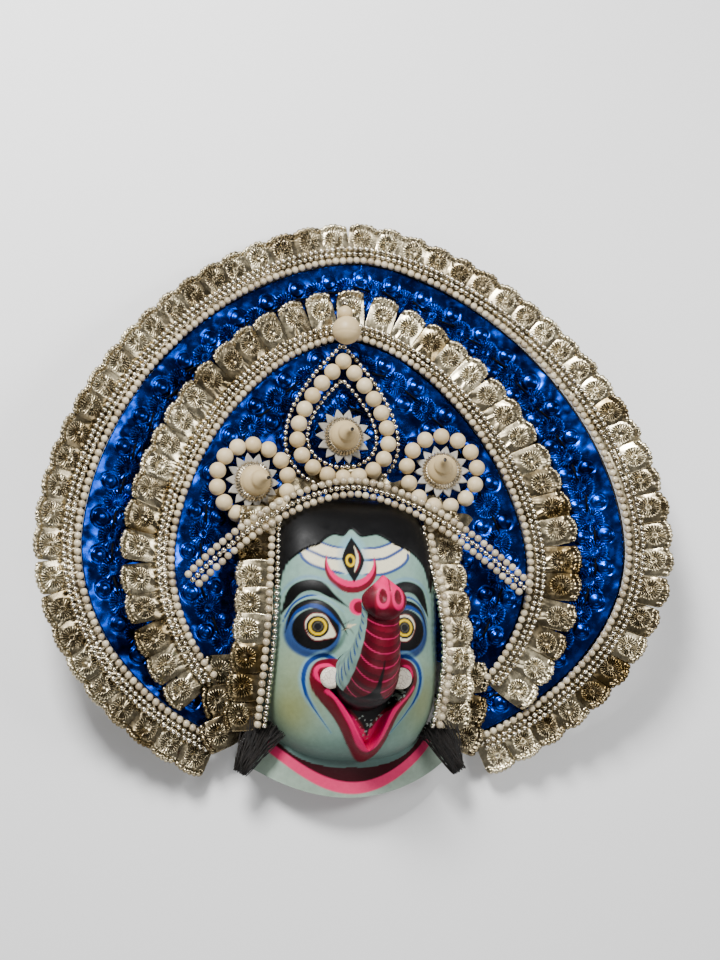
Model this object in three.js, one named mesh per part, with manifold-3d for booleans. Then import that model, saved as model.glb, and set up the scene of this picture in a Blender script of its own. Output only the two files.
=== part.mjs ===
// A large Purulia Chhau dance mask of an elephant-headed god, lying on its back, in millimetres.
// X runs to the viewer's right, Y runs towards the crown and Z towards the viewer, who looks down on it.
// A painted papier-mache head, open at the back, stands in a halo of bound iron wires.
// Embossed foil, strung beads and turned finials are stitched and tied to the wires.
import * as THREE from "three";
import { mergeVertices } from "three/addons/utils/BufferGeometryUtils.js";
import Module from "manifold-3d";

// Head: its plan outline, its depth and its wall.
const headX = -8;
const headCentreY = -155;
const headHalfWidth = 87;
const headTop = 155;
const headBottom = 103;
const headSquareness = 2.6;
const headDepth = 84;
const domeSquareness = 2.6;
const wall = 5;

// Neck below the chin, flared to a curved hem.
const neckTopHalfWidth = headHalfWidth - 15;
const neckHemHalfWidth = headHalfWidth + 17;
const neckTopDepth = 50;
const neckHemDepth = 34;
const neckTopY = -215;
const neckHemY = -286;
const neckHemRise = 36;

// Features of the face, measured from the head's centre line.
const eyeSpread = 41;
const eyeY = -130;
const eyeRadius = 30;
const eyeBulge = 7;
const lipTopY = -160;
const lipTipY = -244;
const lipHalfWidth = 45;
const lipRound = 12;
const lipWidth = 15;
const lipHeight = 12;
const lipLean = 6;
const tuskRadius = 10;
const tuskLength = 20;

// Trunk: it leaves the mouth forwards and turns up in front of the brow.
const trunkRootRadius = 31;
const trunkEndRadius = 16.5;
const trunkReach = 160;
const trunkRise = 78;
const snoutWidth = 41;
const snoutHeight = 38;
const snoutDepth = 22;

// Halo: the curve that the outer bead row follows, and the gold band outside it.
const haloHalfWidth = 268;
const haloCentreY = -49;
const haloAbove = 296;
const haloBelow = 208;
const haloPointed = 1.77;
const haloLean = 0.03;
const haloEndAngle = 28.5;
const outerBandWidth = 40;
const outerRosettes = 55;
const wingFlat = 40;
const wingLift = 75;

// Inner arch: the curve that the inner bead row follows, and the gold band outside it.
const archX = -3;
const archHalfWidth = 178;
const archCentreY = -62;
const archAbove = 226;
const archBelow = 169;
const archPointed = 1.7;
const archEndAngle = 48;
const innerBandWidth = 50;
const innerRosettes = 37;

// Foil sheets, wires and the clearances between pieces.
const wireDiameter = 3;
const clearance = 0.3;
const foilThickness = 1.2;
const scallopDepth = 7;
const emboss = 4;
const blueRosettePitch = 46;
const blueBandWidth = 62;

// Beads and turned pieces.
const pearlDiameter = 7.2;
const silverDiameter = 5.6;
const ballDiameter = 16;
const dropCentreX = -14;
const dropCentreY = 63;
const dropHalfWidth = 46;
const dropTopY = 136;
const dropBottomY = 19;
const ringRadius = 35.5;
const ringCentres = { left: [-104, 11], right: [86, 29] };
const finialHeight = 34;
const finialRadius = 14.5;
const finialCollar = 19;
const starRadius = 26.5;
const starPoints = 14;
const crestDiameter = 28;
const crestTopDiameter = 15;

// Strips beside the face and the brow band.
const stripTopY = -40;
const stripBottomY = -222;
const stripTopX = { left: headHalfWidth - 17, right: headHalfWidth - 19 };
const stripBottomX = { left: headHalfWidth - 5, right: headHalfWidth - 13 };
const stripBow = { left: 0, right: 13 };
const stripWidth = 42;
const stripRosettes = 7;
const stripHeight = 38;
const stripSwell = 20;
const browPearl = 7.2;
const browApexY = 6;
const browHalfWidth = 166;
const browEndY = -86;

// Jute hair tied behind the jaw, one tuft each side.
const tuftLength = 46;
const tuftWidth = 30;
const tuftThickness = 12;
const tuftSpread = headHalfWidth + 8;
const tuftY = -247;
const tuftLevel = 33;

const wasm = await Module();
wasm.setup();

const group = new THREE.Group();
const clamp01 = (t) => Math.min(1, Math.max(0, t));
const smooth = (t) => {
  const s = clamp01(t);
  return s * s * (3 - 2 * s);
};
const mix = (a, b, t) => a + (b - a) * t;
const signedPower = (v, p) => Math.sign(v) * Math.abs(v) ** p;

// Levels above the table at the middle of the halo: spokes, hoops, then foil.
const hoopLevel = wireDiameter + clearance;
const foilLevel = hoopLevel + wireDiameter + clearance;
const innerBandLevel = foilLevel + foilThickness + emboss + 2;
const wingRise = (x) =>
  wingLift * (Math.max(0, Math.abs(x) - wingFlat) / (haloHalfWidth + outerBandWidth - wingFlat)) ** 2;

const finishes = {
  skin: new THREE.MeshStandardMaterial({ color: 0x8fa89b, roughness: 0.45, metalness: 0 }),
  wire: new THREE.MeshStandardMaterial({ color: 0x1b1816, roughness: 0.6, metalness: 0.6 }),
  goldFoil: new THREE.MeshStandardMaterial({ color: 0xb9a678, roughness: 0.25, metalness: 1 }),
  blueFoil: new THREE.MeshStandardMaterial({ color: 0x0a4fc4, roughness: 0.2, metalness: 1 }),
  pearl: new THREE.MeshStandardMaterial({ color: 0xcdbfae, roughness: 0.25, metalness: 0.1 }),
  silver: new THREE.MeshStandardMaterial({ color: 0xc9bfa8, roughness: 0.15, metalness: 1 }),
  ivory: new THREE.MeshStandardMaterial({ color: 0xd5c7a4, roughness: 0.45, metalness: 0 }),
  star: new THREE.MeshStandardMaterial({ color: 0xb9b3a6, roughness: 0.4, metalness: 0.1 }),
  jute: new THREE.MeshStandardMaterial({ color: 0x14100c, roughness: 0.9, metalness: 0 }),
};

function addPiece(name, geometry, finish) {
  const mesh = new THREE.Mesh(geometry, finishes[finish]);
  mesh.name = name;
  group.add(mesh);
}

// A closed body between two grids of points: upper(i, j) and lower(i, j) for i steps along and j steps across.
function slab(along, across, upper, lower) {
  const points = [];
  const index = (side, i, j) => side * (along + 1) * (across + 1) + i * (across + 1) + j;
  for (const surface of [upper, lower]) {
    for (let i = 0; i <= along; i++) {
      for (let j = 0; j <= across; j++) points.push(...surface(i, j));
    }
  }
  const faces = [];
  const quad = (a, b, c, d) => faces.push(a, b, c, a, c, d);
  for (let i = 0; i < along; i++) {
    for (let j = 0; j < across; j++) {
      quad(index(0, i, j), index(0, i + 1, j), index(0, i + 1, j + 1), index(0, i, j + 1));
      quad(index(1, i, j + 1), index(1, i + 1, j + 1), index(1, i + 1, j), index(1, i, j));
    }
  }
  for (let i = 0; i < along; i++) {
    quad(index(1, i, 0), index(1, i + 1, 0), index(0, i + 1, 0), index(0, i, 0));
    quad(index(0, i, across), index(0, i + 1, across), index(1, i + 1, across), index(1, i, across));
  }
  for (let j = 0; j < across; j++) {
    quad(index(0, 0, j), index(0, 0, j + 1), index(1, 0, j + 1), index(1, 0, j));
    quad(index(1, along, j), index(1, along, j + 1), index(0, along, j + 1), index(0, along, j));
  }
  return meshGeometry(points, faces);
}

function meshGeometry(points, faces) {
  const geometry = new THREE.BufferGeometry();
  geometry.setAttribute("position", new THREE.Float32BufferAttribute(points, 3));
  geometry.setIndex(faces);
  if (signedVolume(geometry) < 0) {
    for (let k = 0; k < faces.length; k += 3) [faces[k + 1], faces[k + 2]] = [faces[k + 2], faces[k + 1]];
    geometry.setIndex(faces);
  }
  geometry.computeVertexNormals();
  return geometry;
}

function signedVolume(geometry) {
  const position = geometry.getAttribute("position");
  const order = geometry.getIndex().array;
  const [a, b, c] = [new THREE.Vector3(), new THREE.Vector3(), new THREE.Vector3()];
  let six = 0;
  for (let k = 0; k < order.length; k += 3) {
    a.fromBufferAttribute(position, order[k]);
    b.fromBufferAttribute(position, order[k + 1]);
    c.fromBufferAttribute(position, order[k + 2]);
    six += a.dot(b.cross(c));
  }
  return six / 6;
}

// A solid for joining and cutting, and the way back to a mesh.
function solid(geometry) {
  const plain = geometry.clone();
  plain.deleteAttribute("normal");
  plain.deleteAttribute("uv");
  const merged = mergeVertices(plain, 1e-4);
  return new wasm.Manifold(
    new wasm.Mesh({
      numProp: 3,
      vertProperties: new Float32Array(merged.getAttribute("position").array),
      triVerts: new Uint32Array(merged.getIndex().array),
    }),
  );
}

function geometryOf(manifold) {
  const mesh = manifold.getMesh();
  return meshGeometry(Array.from(mesh.vertProperties), Array.from(mesh.triVerts));
}

// A rod of a given section along a curve given by a function of 0 to 1.
class FormulaCurve extends THREE.Curve {
  constructor(place) {
    super();
    this.place = place;
  }
  getPoint(t, target = new THREE.Vector3()) {
    return target.set(...this.place(t));
  }
}

function rod(place, diameter, steps, sides) {
  const section = new THREE.Shape();
  for (let k = 0; k < sides; k++) {
    const angle = (2 * Math.PI * (k + 0.5)) / sides;
    const [x, y] = [(diameter / 2) * Math.cos(angle), (diameter / 2) * Math.sin(angle)];
    if (k === 0) section.moveTo(x, y);
    else section.lineTo(x, y);
  }
  const options = { steps, curveSegments: 1, bevelEnabled: false, extrudePath: new FormulaCurve(place) };
  return new THREE.ExtrudeGeometry(section, options);
}

// A halo curve: pointed above its widest line, round below it. The angle is 0 at the crown. Bent by hand, the
// outer one leans a little towards the viewer's right.
function haloCurve(halfWidth, centreY, above, below, pointed) {
  return (angle) => {
    const [across, up] = [Math.sin(angle), Math.cos(angle)];
    const power = up > 0 ? 2 / pointed : 1;
    return [halfWidth * signedPower(across, power), centreY + (up > 0 ? above : below) * signedPower(up, power)];
  };
}

// Walks a curve at equal lengths from -1 to 1 and gives a point set out from it by an offset. The shift is how far
// the real wire stands to the side at each height.
function walk(curve, endAngle, shift) {
  const last = Math.PI - THREE.MathUtils.degToRad(endAngle);
  const samples = 720;
  const points = [];
  for (let k = 0; k <= samples; k++) points.push(curve(last * (k / samples)));
  const lengths = [0];
  for (let k = 1; k <= samples; k++) {
    lengths.push(lengths[k - 1] + Math.hypot(points[k][0] - points[k - 1][0], points[k][1] - points[k - 1][1]));
  }
  const total = lengths[samples];
  const along = (share) => {
    const wanted = Math.abs(share) * total;
    let k = 1;
    while (k < samples && lengths[k] < wanted) k++;
    const t = (wanted - lengths[k - 1]) / (lengths[k] - lengths[k - 1]);
    return [mix(points[k - 1][0], points[k][0], t), mix(points[k - 1][1], points[k][1], t)];
  };
  const at = (share, offset) => {
    const reach = 0.012;
    const [x0, y0] = along(Math.max(0, Math.abs(share) - reach));
    const [x1, y1] = along(Math.min(1, Math.abs(share) + reach));
    const [x, y] = along(share);
    const crown = Math.abs(share) < 1e-9;
    const run = crown ? [1, 0] : [x1 - x0, y1 - y0];
    const size = Math.hypot(...run);
    const side = share < 0 ? -1 : 1;
    const height = y + (offset * run[0]) / size;
    return [side * (x + (offset * -run[1]) / size) + shift(height), height];
  };
  return { at, length: 2 * total };
}

const outerLine = walk(
  haloCurve(haloHalfWidth, haloCentreY, haloAbove, haloBelow, haloPointed),
  haloEndAngle,
  (y) => haloLean * (y - haloCentreY),
);
const innerLine = walk(
  haloCurve(archHalfWidth, archCentreY, archAbove, archBelow, archPointed),
  archEndAngle,
  () => archX,
);

// Rows of beads on a halo curve, each one strand, seated on the rising side of the embossed foil.
const silverRowWidth = 2 * silverDiameter;
const silverOffset = (pearlDiameter + silverRowWidth) / 2 + clearance;
const seat = (bandWidth, reach) => foilThickness + emboss * Math.min(1, reach / bandWidth) + clearance;
function strand(line, offset, level, diameter, steps) {
  const place = (t) => {
    const [x, y] = line.at(mix(-1, 1, t), offset);
    return [x, y, wingRise(x) + level + diameter / 2];
  };
  return rod(place, diameter, steps, 4);
}

// Plan outline of the head at a share of its size, 0 at the centre line and 1 at the rim.
function headOutline(angle, share, inset) {
  const power = 2 / headSquareness;
  const [c, s] = [signedPower(Math.cos(angle), power), signedPower(Math.sin(angle), power)];
  const reach = s > 0 ? headTop : headBottom;
  return [headX + (headHalfWidth - inset) * share * c, headCentreY + (reach - inset) * share * s];
}

const domeHeight = (share, inset) =>
  (headDepth - inset) * Math.max(0, 1 - share ** domeSquareness) ** (1 / domeSquareness);

// Height of the face at a place given from the head's centre line.
function faceHeight(x, y) {
  const reach = y > headCentreY ? headTop : headBottom;
  const across = Math.abs(x / headHalfWidth) ** headSquareness;
  const up = Math.abs((y - headCentreY) / reach) ** headSquareness;
  const eye = Math.min(Math.hypot(x - eyeSpread, y - eyeY), Math.hypot(x + eyeSpread, y - eyeY));
  const bulge = eyeBulge * Math.sqrt(Math.max(0, 1 - (eye / eyeRadius) ** 2));
  return domeHeight(Math.min(1, (across + up) ** (1 / headSquareness)), 0) + bulge;
}

// The head as a closed dome on the table. An inset of the wall gives the hollow, which goes through the table.
const faceRings = [0, 0.16, 0.32, 0.45, 0.57, 0.69, 0.79, 0.87, 0.94, 0.985, 1];
const hollowRings = [0, 0.4, 0.68, 0.86, 0.96, 1];
function headDome(inset) {
  const [shares, segments, floor] = inset > 0 ? [hollowRings, 24, -1] : [faceRings, 36, 0];
  const points = [];
  for (const share of shares) {
    for (let k = 0; k < segments; k++) {
      const [x, y] = headOutline((2 * Math.PI * k) / segments, share, inset);
      points.push(x, y, inset > 0 ? domeHeight(share, inset) : faceHeight(x - headX, y));
    }
  }
  for (let k = 0; k < segments; k++) {
    const [x, y] = headOutline((2 * Math.PI * k) / segments, 1, inset);
    points.push(x, y, floor);
  }
  points.push(headX, headCentreY, floor);
  const bottomCentre = points.length / 3 - 1;
  const faces = [];
  const at = (ring, k) => ring * segments + (k % segments);
  const levels = inset > 0 ? shares.length : shares.length - 1;
  for (let ring = 0; ring < levels; ring++) {
    for (let k = 0; k < segments; k++) {
      if (ring > 0) faces.push(at(ring, k), at(ring + 1, k), at(ring, k + 1));
      faces.push(at(ring, k + 1), at(ring + 1, k), at(ring + 1, k + 1));
    }
  }
  for (let k = 0; k < segments; k++) faces.push(at(levels, k + 1), at(levels, k), bottomCentre);
  return solid(meshGeometry(points, faces));
}

// The lips: a raised ring of rounded-triangle plan that stands on its tip and follows the dome.
function lips() {
  const corners = [
    [lipLean, lipTipY + 1.8 * lipRound],
    [lipHalfWidth - lipRound + lipLean / 2, lipTopY - lipRound],
    [lipRound - lipHalfWidth + lipLean / 2, lipTopY - lipRound],
  ];
  const perCorner = 4;
  const perSide = 3;
  const outline = [];
  corners.forEach(([cx, cy], k) => {
    const [nx, ny] = corners[(k + 1) % 3];
    const [px, py] = corners[(k + 2) % 3];
    const start = Math.atan2(px - cx, cy - py) + Math.PI;
    const end = Math.atan2(nx - cx, cy - ny);
    const turn = (end - start + 4 * Math.PI) % (2 * Math.PI);
    for (let j = 0; j <= perCorner; j++) {
      const angle = start + (turn * j) / perCorner;
      outline.push([cx, cy, Math.cos(angle), Math.sin(angle)]);
    }
    const angle = start + turn;
    for (let j = 1; j < perSide; j++) {
      outline.push([mix(cx, nx, j / perSide), mix(cy, ny, j / perSide), Math.cos(angle), Math.sin(angle)]);
    }
  });
  const section = [
    [lipRound, -1.5 * wall],
    [lipRound - 3, 0.8 * lipHeight],
    [lipRound - lipWidth / 2, lipHeight],
    [lipRound - lipWidth + 3, 0.6 * lipHeight],
    [lipRound - lipWidth, -1.5 * wall],
  ];
  const points = [];
  for (const [cx, cy, nx, ny] of outline) {
    for (const [out, up] of section) {
      const [x, y] = [cx + out * nx, cy + out * ny];
      points.push(x + headX, y, faceHeight(x, y) + up);
    }
  }
  const [n, m] = [outline.length, section.length];
  const faces = [];
  for (let i = 0; i < n; i++) {
    for (let j = 0; j < m; j++) {
      const [a, b] = [i * m + j, i * m + ((j + 1) % m)];
      const [c, d] = [((i + 1) % n) * m + ((j + 1) % m), ((i + 1) % n) * m + j];
      faces.push(a, b, c, a, c, d);
    }
  }
  return solid(meshGeometry(points, faces));
}

// The neck as a closed half round on the table, or the hollow behind it.
function neckBody(inset) {
  const floor = inset > 0 ? -1 : 0;
  const past = inset > 0 ? 4 : 0;
  const [rows, around] = [3, 16];
  const bend = (t) => smooth(t) * 0.5 + t * 0.5;
  const edge = (i, j, up) => {
    const t = i / rows;
    const half = mix(neckTopHalfWidth, neckHemHalfWidth, bend(t)) - inset;
    const deep = mix(neckTopDepth, neckHemDepth, bend(t)) - inset;
    const across = -Math.cos((Math.PI * j) / around);
    const hem = neckHemY + neckHemRise * across * across - past;
    const y = mix(neckTopY + past, hem, t);
    const z = up ? deep * Math.sqrt(Math.max(0, 1 - across * across)) : floor;
    return [headX + half * across, y, z];
  };
  const lower = (i, j) => edge(i, j, false);
  const upper = (i, j) => (j === 0 || j === around ? lower(i, j).with(2, 0.01) : edge(i, j, true));
  return solid(slab(rows, around, upper, lower));
}

// The trunk with its snout, and the sawn tusk stubs at the corners of the mouth.
const trunkRootY = lipTopY - 18;
const trunkPath = new THREE.CatmullRomCurve3([
  new THREE.Vector3(headX, trunkRootY + 8, headDepth - 24),
  new THREE.Vector3(headX, trunkRootY, headDepth + 6),
  new THREE.Vector3(headX, trunkRootY + 0.16 * trunkRise, mix(headDepth, trunkReach, 0.55)),
  new THREE.Vector3(headX, trunkRootY + 0.52 * trunkRise, mix(headDepth, trunkReach, 0.82)),
  new THREE.Vector3(headX, trunkRootY + trunkRise, trunkReach),
]);

function trunk() {
  const [rings, sides] = [8, 12];
  const points = [];
  const frames = trunkPath.computeFrenetFrames(rings, false);
  for (let i = 0; i <= rings; i++) {
    const t = i / rings;
    const centre = trunkPath.getPointAt(t);
    const radius = mix(trunkRootRadius, trunkEndRadius, smooth(t * 1.3));
    for (let k = 0; k < sides; k++) {
      const angle = (2 * Math.PI * k) / sides;
      const spoke = frames.normals[i]
        .clone()
        .multiplyScalar(Math.cos(angle) * radius)
        .addScaledVector(frames.binormals[i], Math.sin(angle) * radius);
      points.push(...centre.clone().add(spoke).toArray());
    }
  }
  points.push(...trunkPath.getPointAt(0).toArray(), ...trunkPath.getPointAt(1).toArray());
  const [first, last] = [(rings + 1) * sides, (rings + 1) * sides + 1];
  const faces = [];
  for (let k = 0; k < sides; k++) {
    const next = (k + 1) % sides;
    for (let i = 0; i < rings; i++) {
      faces.push(i * sides + k, i * sides + next, (i + 1) * sides + next);
      faces.push(i * sides + k, (i + 1) * sides + next, (i + 1) * sides + k);
    }
    faces.push(first, next, k);
    faces.push(last, rings * sides + k, rings * sides + next);
  }
  const snout = new THREE.SphereGeometry(0.5, 12, 6);
  snout.scale(snoutWidth, snoutHeight, snoutDepth);
  snout.rotateX(-0.25);
  const tip = trunkPath.getPointAt(1);
  snout.translate(tip.x, tip.y - 4, tip.z - 2);
  return solid(meshGeometry(points, faces)).add(solid(snout));
}

function tusk(side) {
  const stub = new THREE.CylinderGeometry(0.8 * tuskRadius, tuskRadius, tuskLength, 12);
  stub.rotateX(Math.PI / 2);
  stub.translate(headX + side * (lipHalfWidth - 12), lipTopY - 15, headDepth + 4);
  return solid(stub);
}

function faceMask() {
  const outside = headDome(0).add(neckBody(0)).add(lips()).add(trunk()).add(tusk(-1)).add(tusk(1));
  const hollow = headDome(wall).add(neckBody(wall));
  const bodies = outside.subtract(hollow).decompose();
  // A crumb can be left loose where the lip, tusk and trunk meet, so the shell is the largest body.
  bodies.sort((a, b) => b.volume() - a.volume());
  return geometryOf(bodies[0]);
}

addPiece("face_mask", faceMask(), "skin");

// Hoops of iron wire behind the foil, one under each row of beads and one under the outer gold band.
const hoopSteps = 32;
const outerHoopOffset = 0.55 * outerBandWidth;
const hoops = { outer_hoop: [outerLine, outerHoopOffset], middle_hoop: [outerLine, -2], inner_hoop: [innerLine, 0] };
for (const [name, [line, offset]] of Object.entries(hoops)) {
  addPiece(name, strand(line, offset, hoopLevel, wireDiameter, hoopSteps), "wire");
}

// Spokes lie under the hoops and run from the head out to the gold band.
const spokeCount = 7;
const spokeSpread = THREE.MathUtils.degToRad(125);
const spokeHub = [headX, headCentreY + 30];
function insideHead(x, y) {
  const reach = y > headCentreY ? headTop : headBottom;
  return Math.abs((x - headX) / headHalfWidth) ** headSquareness + Math.abs((y - headCentreY) / reach) ** headSquareness < 1;
}
function outsideHalo(x, y) {
  const up = y > haloCentreY;
  const [power, reach] = up ? [haloPointed, haloAbove] : [2, haloBelow];
  const across = x - haloLean * (y - haloCentreY);
  return Math.abs(across / haloHalfWidth) ** power + Math.abs((y - haloCentreY) / reach) ** power > 1;
}
function firstAlong(direction, test) {
  let distance = 1;
  while (!test(spokeHub[0] + distance * direction[0], spokeHub[1] + distance * direction[1])) distance += 0.5;
  return distance;
}
for (let k = 0; k < spokeCount; k++) {
  const angle = mix(-spokeSpread, spokeSpread, k / (spokeCount - 1));
  const direction = [Math.sin(angle), Math.cos(angle)];
  const from = firstAlong(direction, (x, y) => !insideHead(x, y)) + wireDiameter / 2 + clearance;
  const to = firstAlong(direction, outsideHalo) + outerHoopOffset + wireDiameter;
  const place = (t) => {
    const distance = mix(from, to, t);
    const [x, y] = [spokeHub[0] + distance * direction[0], spokeHub[1] + distance * direction[1]];
    return [x, y, wingRise(x) + wireDiameter / 2];
  };
  addPiece("spoke_" + (k + 1), rod(place, wireDiameter, 7, 4), "wire");
}

// A row of overlapping round foils: a scalloped sheet that rises in flutes towards its outer edge.
const rosetteSteps = 3;
function foilBand(line, width, rosettes, level) {
  const along = rosettes * rosetteSteps;
  const place = (i, j, lift) => {
    const swell = Math.sin((Math.PI * (i % rosetteSteps)) / rosetteSteps);
    const [x, y] = line.at(mix(-1, 1, i / along), j * (width - scallopDepth * (1 - swell)));
    return [x, y, wingRise(x) + level + (lift ? foilThickness + j * emboss * swell : 0)];
  };
  return slab(along, 1, (i, j) => place(i, j, true), (i, j) => place(i, j, false));
}

addPiece("outer_gold_band", foilBand(outerLine, outerBandWidth, outerRosettes, foilLevel), "goldFoil");
addPiece("inner_gold_band", foilBand(innerLine, innerBandWidth, innerRosettes, innerBandLevel), "goldFoil");

// Pleated blue foil between the two gold bands, and the blue field round the head inside the inner arch.
const underRow = pearlDiameter / 2 + clearance;
const blueSteps = 2 * Math.round(outerLine.length / blueRosettePitch);
function blueBand() {
  const place = (i, j, lift) => {
    const [x, y] = outerLine.at(mix(-1, 1, i / blueSteps), mix(-blueBandWidth, -underRow, j));
    return [x, y, wingRise(x) + foilLevel + lift];
  };
  const upper = (i, j) => place(i, j, foilThickness + (i % 2 === 1 ? emboss : 0));
  return slab(blueSteps, 1, upper, (i, j) => place(i, j, 0));
}
addPiece("blue_outer_band", blueBand(), "blueFoil");

const fieldSteps = 40;
const fieldLevel = foilLevel + foilThickness + emboss + 2;
function blueField() {
  const place = (i, j, lift) => {
    const [x1, y1] = innerLine.at(mix(-1, 1, i / fieldSteps), -underRow);
    const away = Math.atan2(y1 - spokeHub[1], x1 - spokeHub[0]);
    const direction = [Math.cos(away), Math.sin(away)];
    const near = firstAlong(direction, (x, y) => !insideHead(x, y)) + 1;
    const [x0, y0] = [spokeHub[0] + near * direction[0], spokeHub[1] + near * direction[1]];
    const [x, y] = [mix(x0, x1, j / 2), mix(y0, y1, j / 2)];
    return [x, y, wingRise(x) + fieldLevel + lift];
  };
  const upper = (i, j) => place(i, j, foilThickness + (i % 2 === 1 ? emboss : 0));
  return slab(fieldSteps, 2, upper, (i, j) => place(i, j, 0));
}
addPiece("blue_inner_field", blueField(), "blueFoil");

const rowSteps = { outer: 44, inner: 34 };
for (const [name, line, band, level] of [
  ["outer", outerLine, outerBandWidth, foilLevel],
  ["inner", innerLine, innerBandWidth, innerBandLevel],
]) {
  const pearlLevel = level + seat(band, pearlDiameter / 2);
  const silverLevel = level + seat(band, silverOffset + silverRowWidth / 2);
  addPiece(name + "_pearl_row", strand(line, 0, pearlLevel, pearlDiameter, rowSteps[name]), "pearl");
  addPiece(name + "_silver_row", strand(line, silverOffset, silverLevel, silverRowWidth, rowSteps[name]), "silver");
}

// A closed string of beads, or a plain chain, that lies on the wings. The radius swells from a waist in each bead.
function necklace(curve, beads, stations, sides, diameter, waist, level) {
  const points = [];
  const total = beads * stations;
  for (let i = 0; i < total; i++) {
    const t = i / total;
    const [x, y] = curve(t);
    const [x0, y0] = curve(t - 0.004);
    const [x1, y1] = curve(t + 0.004);
    const size = Math.hypot(x1 - x0, y1 - y0);
    const [nx, ny] = [(y1 - y0) / size, (x0 - x1) / size];
    const radius = (diameter / 2) * (i % stations === 0 ? waist : 1);
    for (let k = 0; k < sides; k++) {
      const angle = (2 * Math.PI * (k + 0.5)) / sides;
      const [out, up] = [radius * Math.cos(angle), radius * Math.sin(angle)];
      points.push(x + out * nx, y + out * ny, wingRise(x) + level + diameter / 2 + up);
    }
  }
  const faces = [];
  for (let i = 0; i < total; i++) {
    for (let k = 0; k < sides; k++) {
      const [a, b] = [i * sides + k, i * sides + ((k + 1) % sides)];
      const [c, d] = [((i + 1) % total) * sides + ((k + 1) % sides), ((i + 1) % total) * sides + k];
      faces.push(a, b, c, a, c, d);
    }
  }
  return meshGeometry(points, faces);
}

// The drop of large beads over the brow, walked at equal lengths, with a silver chain inside and outside it.
function dropCurve(offset) {
  const top = dropTopY + 1.6 * offset;
  const bottom = dropBottomY - offset;
  const half = (dropHalfWidth + offset) / 0.77;
  const place = (t) => {
    const angle = 2 * Math.PI * t;
    return [
      dropCentreX + half * Math.sin(angle) * Math.abs(Math.sin(angle / 2)),
      (top + bottom) / 2 + ((top - bottom) / 2) * Math.cos(angle),
    ];
  };
  const samples = 360;
  const lengths = [0];
  for (let k = 1; k <= samples; k++) {
    const [x0, y0] = place((k - 1) / samples);
    const [x1, y1] = place(k / samples);
    lengths.push(lengths[k - 1] + Math.hypot(x1 - x0, y1 - y0));
  }
  const total = lengths[samples];
  const curve = (share) => {
    const wanted = (share - Math.floor(share)) * total;
    let k = 1;
    while (k < samples && lengths[k] < wanted) k++;
    return place((k - 1 + (wanted - lengths[k - 1]) / (lengths[k] - lengths[k - 1])) / samples);
  };
  return { curve, total };
}

const seatLevel = fieldLevel + foilThickness + emboss + clearance + 1;
const dropPath = dropCurve(0);
const dropBeads = Math.round(dropPath.total / ballDiameter);
const chainOffset = (ballDiameter + silverDiameter) / 2 + clearance;
const chainWaist = 1;
addPiece("drop_balls", necklace(dropPath.curve, dropBeads, 3, 6, ballDiameter, 0.4, seatLevel), "ivory");
for (const [name, offset] of [
  ["drop_outer_chain", chainOffset],
  ["drop_inner_chain", -chainOffset],
]) {
  const path = dropCurve(offset);
  addPiece(name, necklace(path.curve, 26, 1, 4, silverDiameter, chainWaist, seatLevel), "silver");
}

// Rings of large beads at the temples, each round a star and a turned finial that leans towards the middle.
const ringBeads = Math.round((2 * Math.PI * ringRadius) / ballDiameter);
for (const [side, [cx, cy]] of Object.entries(ringCentres)) {
  const circle = (t) => [cx + ringRadius * Math.sin(2 * Math.PI * t), cy + ringRadius * Math.cos(2 * Math.PI * t)];
  addPiece("ring_balls_" + side, necklace(circle, ringBeads, 3, 6, ballDiameter, 0.4, seatLevel), "ivory");
}

const starThickness = 1.6;
function star() {
  const outline = new THREE.Shape();
  for (let k = 0; k < 2 * starPoints; k++) {
    const angle = (Math.PI * k) / starPoints;
    const radius = k % 2 === 0 ? starRadius : 0.86 * starRadius;
    const [x, y] = [radius * Math.cos(angle), radius * Math.sin(angle)];
    if (k === 0) outline.moveTo(x, y);
    else outline.lineTo(x, y);
  }
  outline.closePath();
  return new THREE.ExtrudeGeometry(outline, { depth: starThickness, bevelEnabled: false, steps: 1 });
}

function finial() {
  const profile = [
    [0, 0],
    [finialCollar, 0],
    [finialCollar, 3],
    [finialRadius, 3.5],
    [finialRadius, 7],
    [0.66 * finialRadius, 0.36 * finialHeight],
    [0.6 * finialRadius, 0.56 * finialHeight],
    [0.34 * finialRadius, 0.62 * finialHeight],
    [0.1 * finialRadius, finialHeight],
    [0, finialHeight],
  ].map(([r, z]) => new THREE.Vector2(r, z));
  return new THREE.LatheGeometry(profile, 12).rotateX(Math.PI / 2);
}

const finialPlaces = {
  left: [...ringCentres.left, 14, -3],
  centre: [dropCentreX, dropCentreY - 3, 0, 0],
  right: [...ringCentres.right, -12, 8],
};
for (const [side, [x, y, leanX, leanY]] of Object.entries(finialPlaces)) {
  const turn = new THREE.Euler(THREE.MathUtils.degToRad(-leanY), THREE.MathUtils.degToRad(leanX), 0);
  const base = new THREE.Vector3(x, y, wingRise(x) + seatLevel + ballDiameter / 2);
  const placed = (geometry, lift) => {
    geometry.translate(0, 0, lift);
    geometry.applyMatrix4(new THREE.Matrix4().makeRotationFromEuler(turn).setPosition(base));
    return geometry;
  };
  addPiece("star_" + side, placed(star(), 0), "star");
  addPiece("finial_" + side, placed(finial(), starThickness + clearance), "ivory");
}

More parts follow.
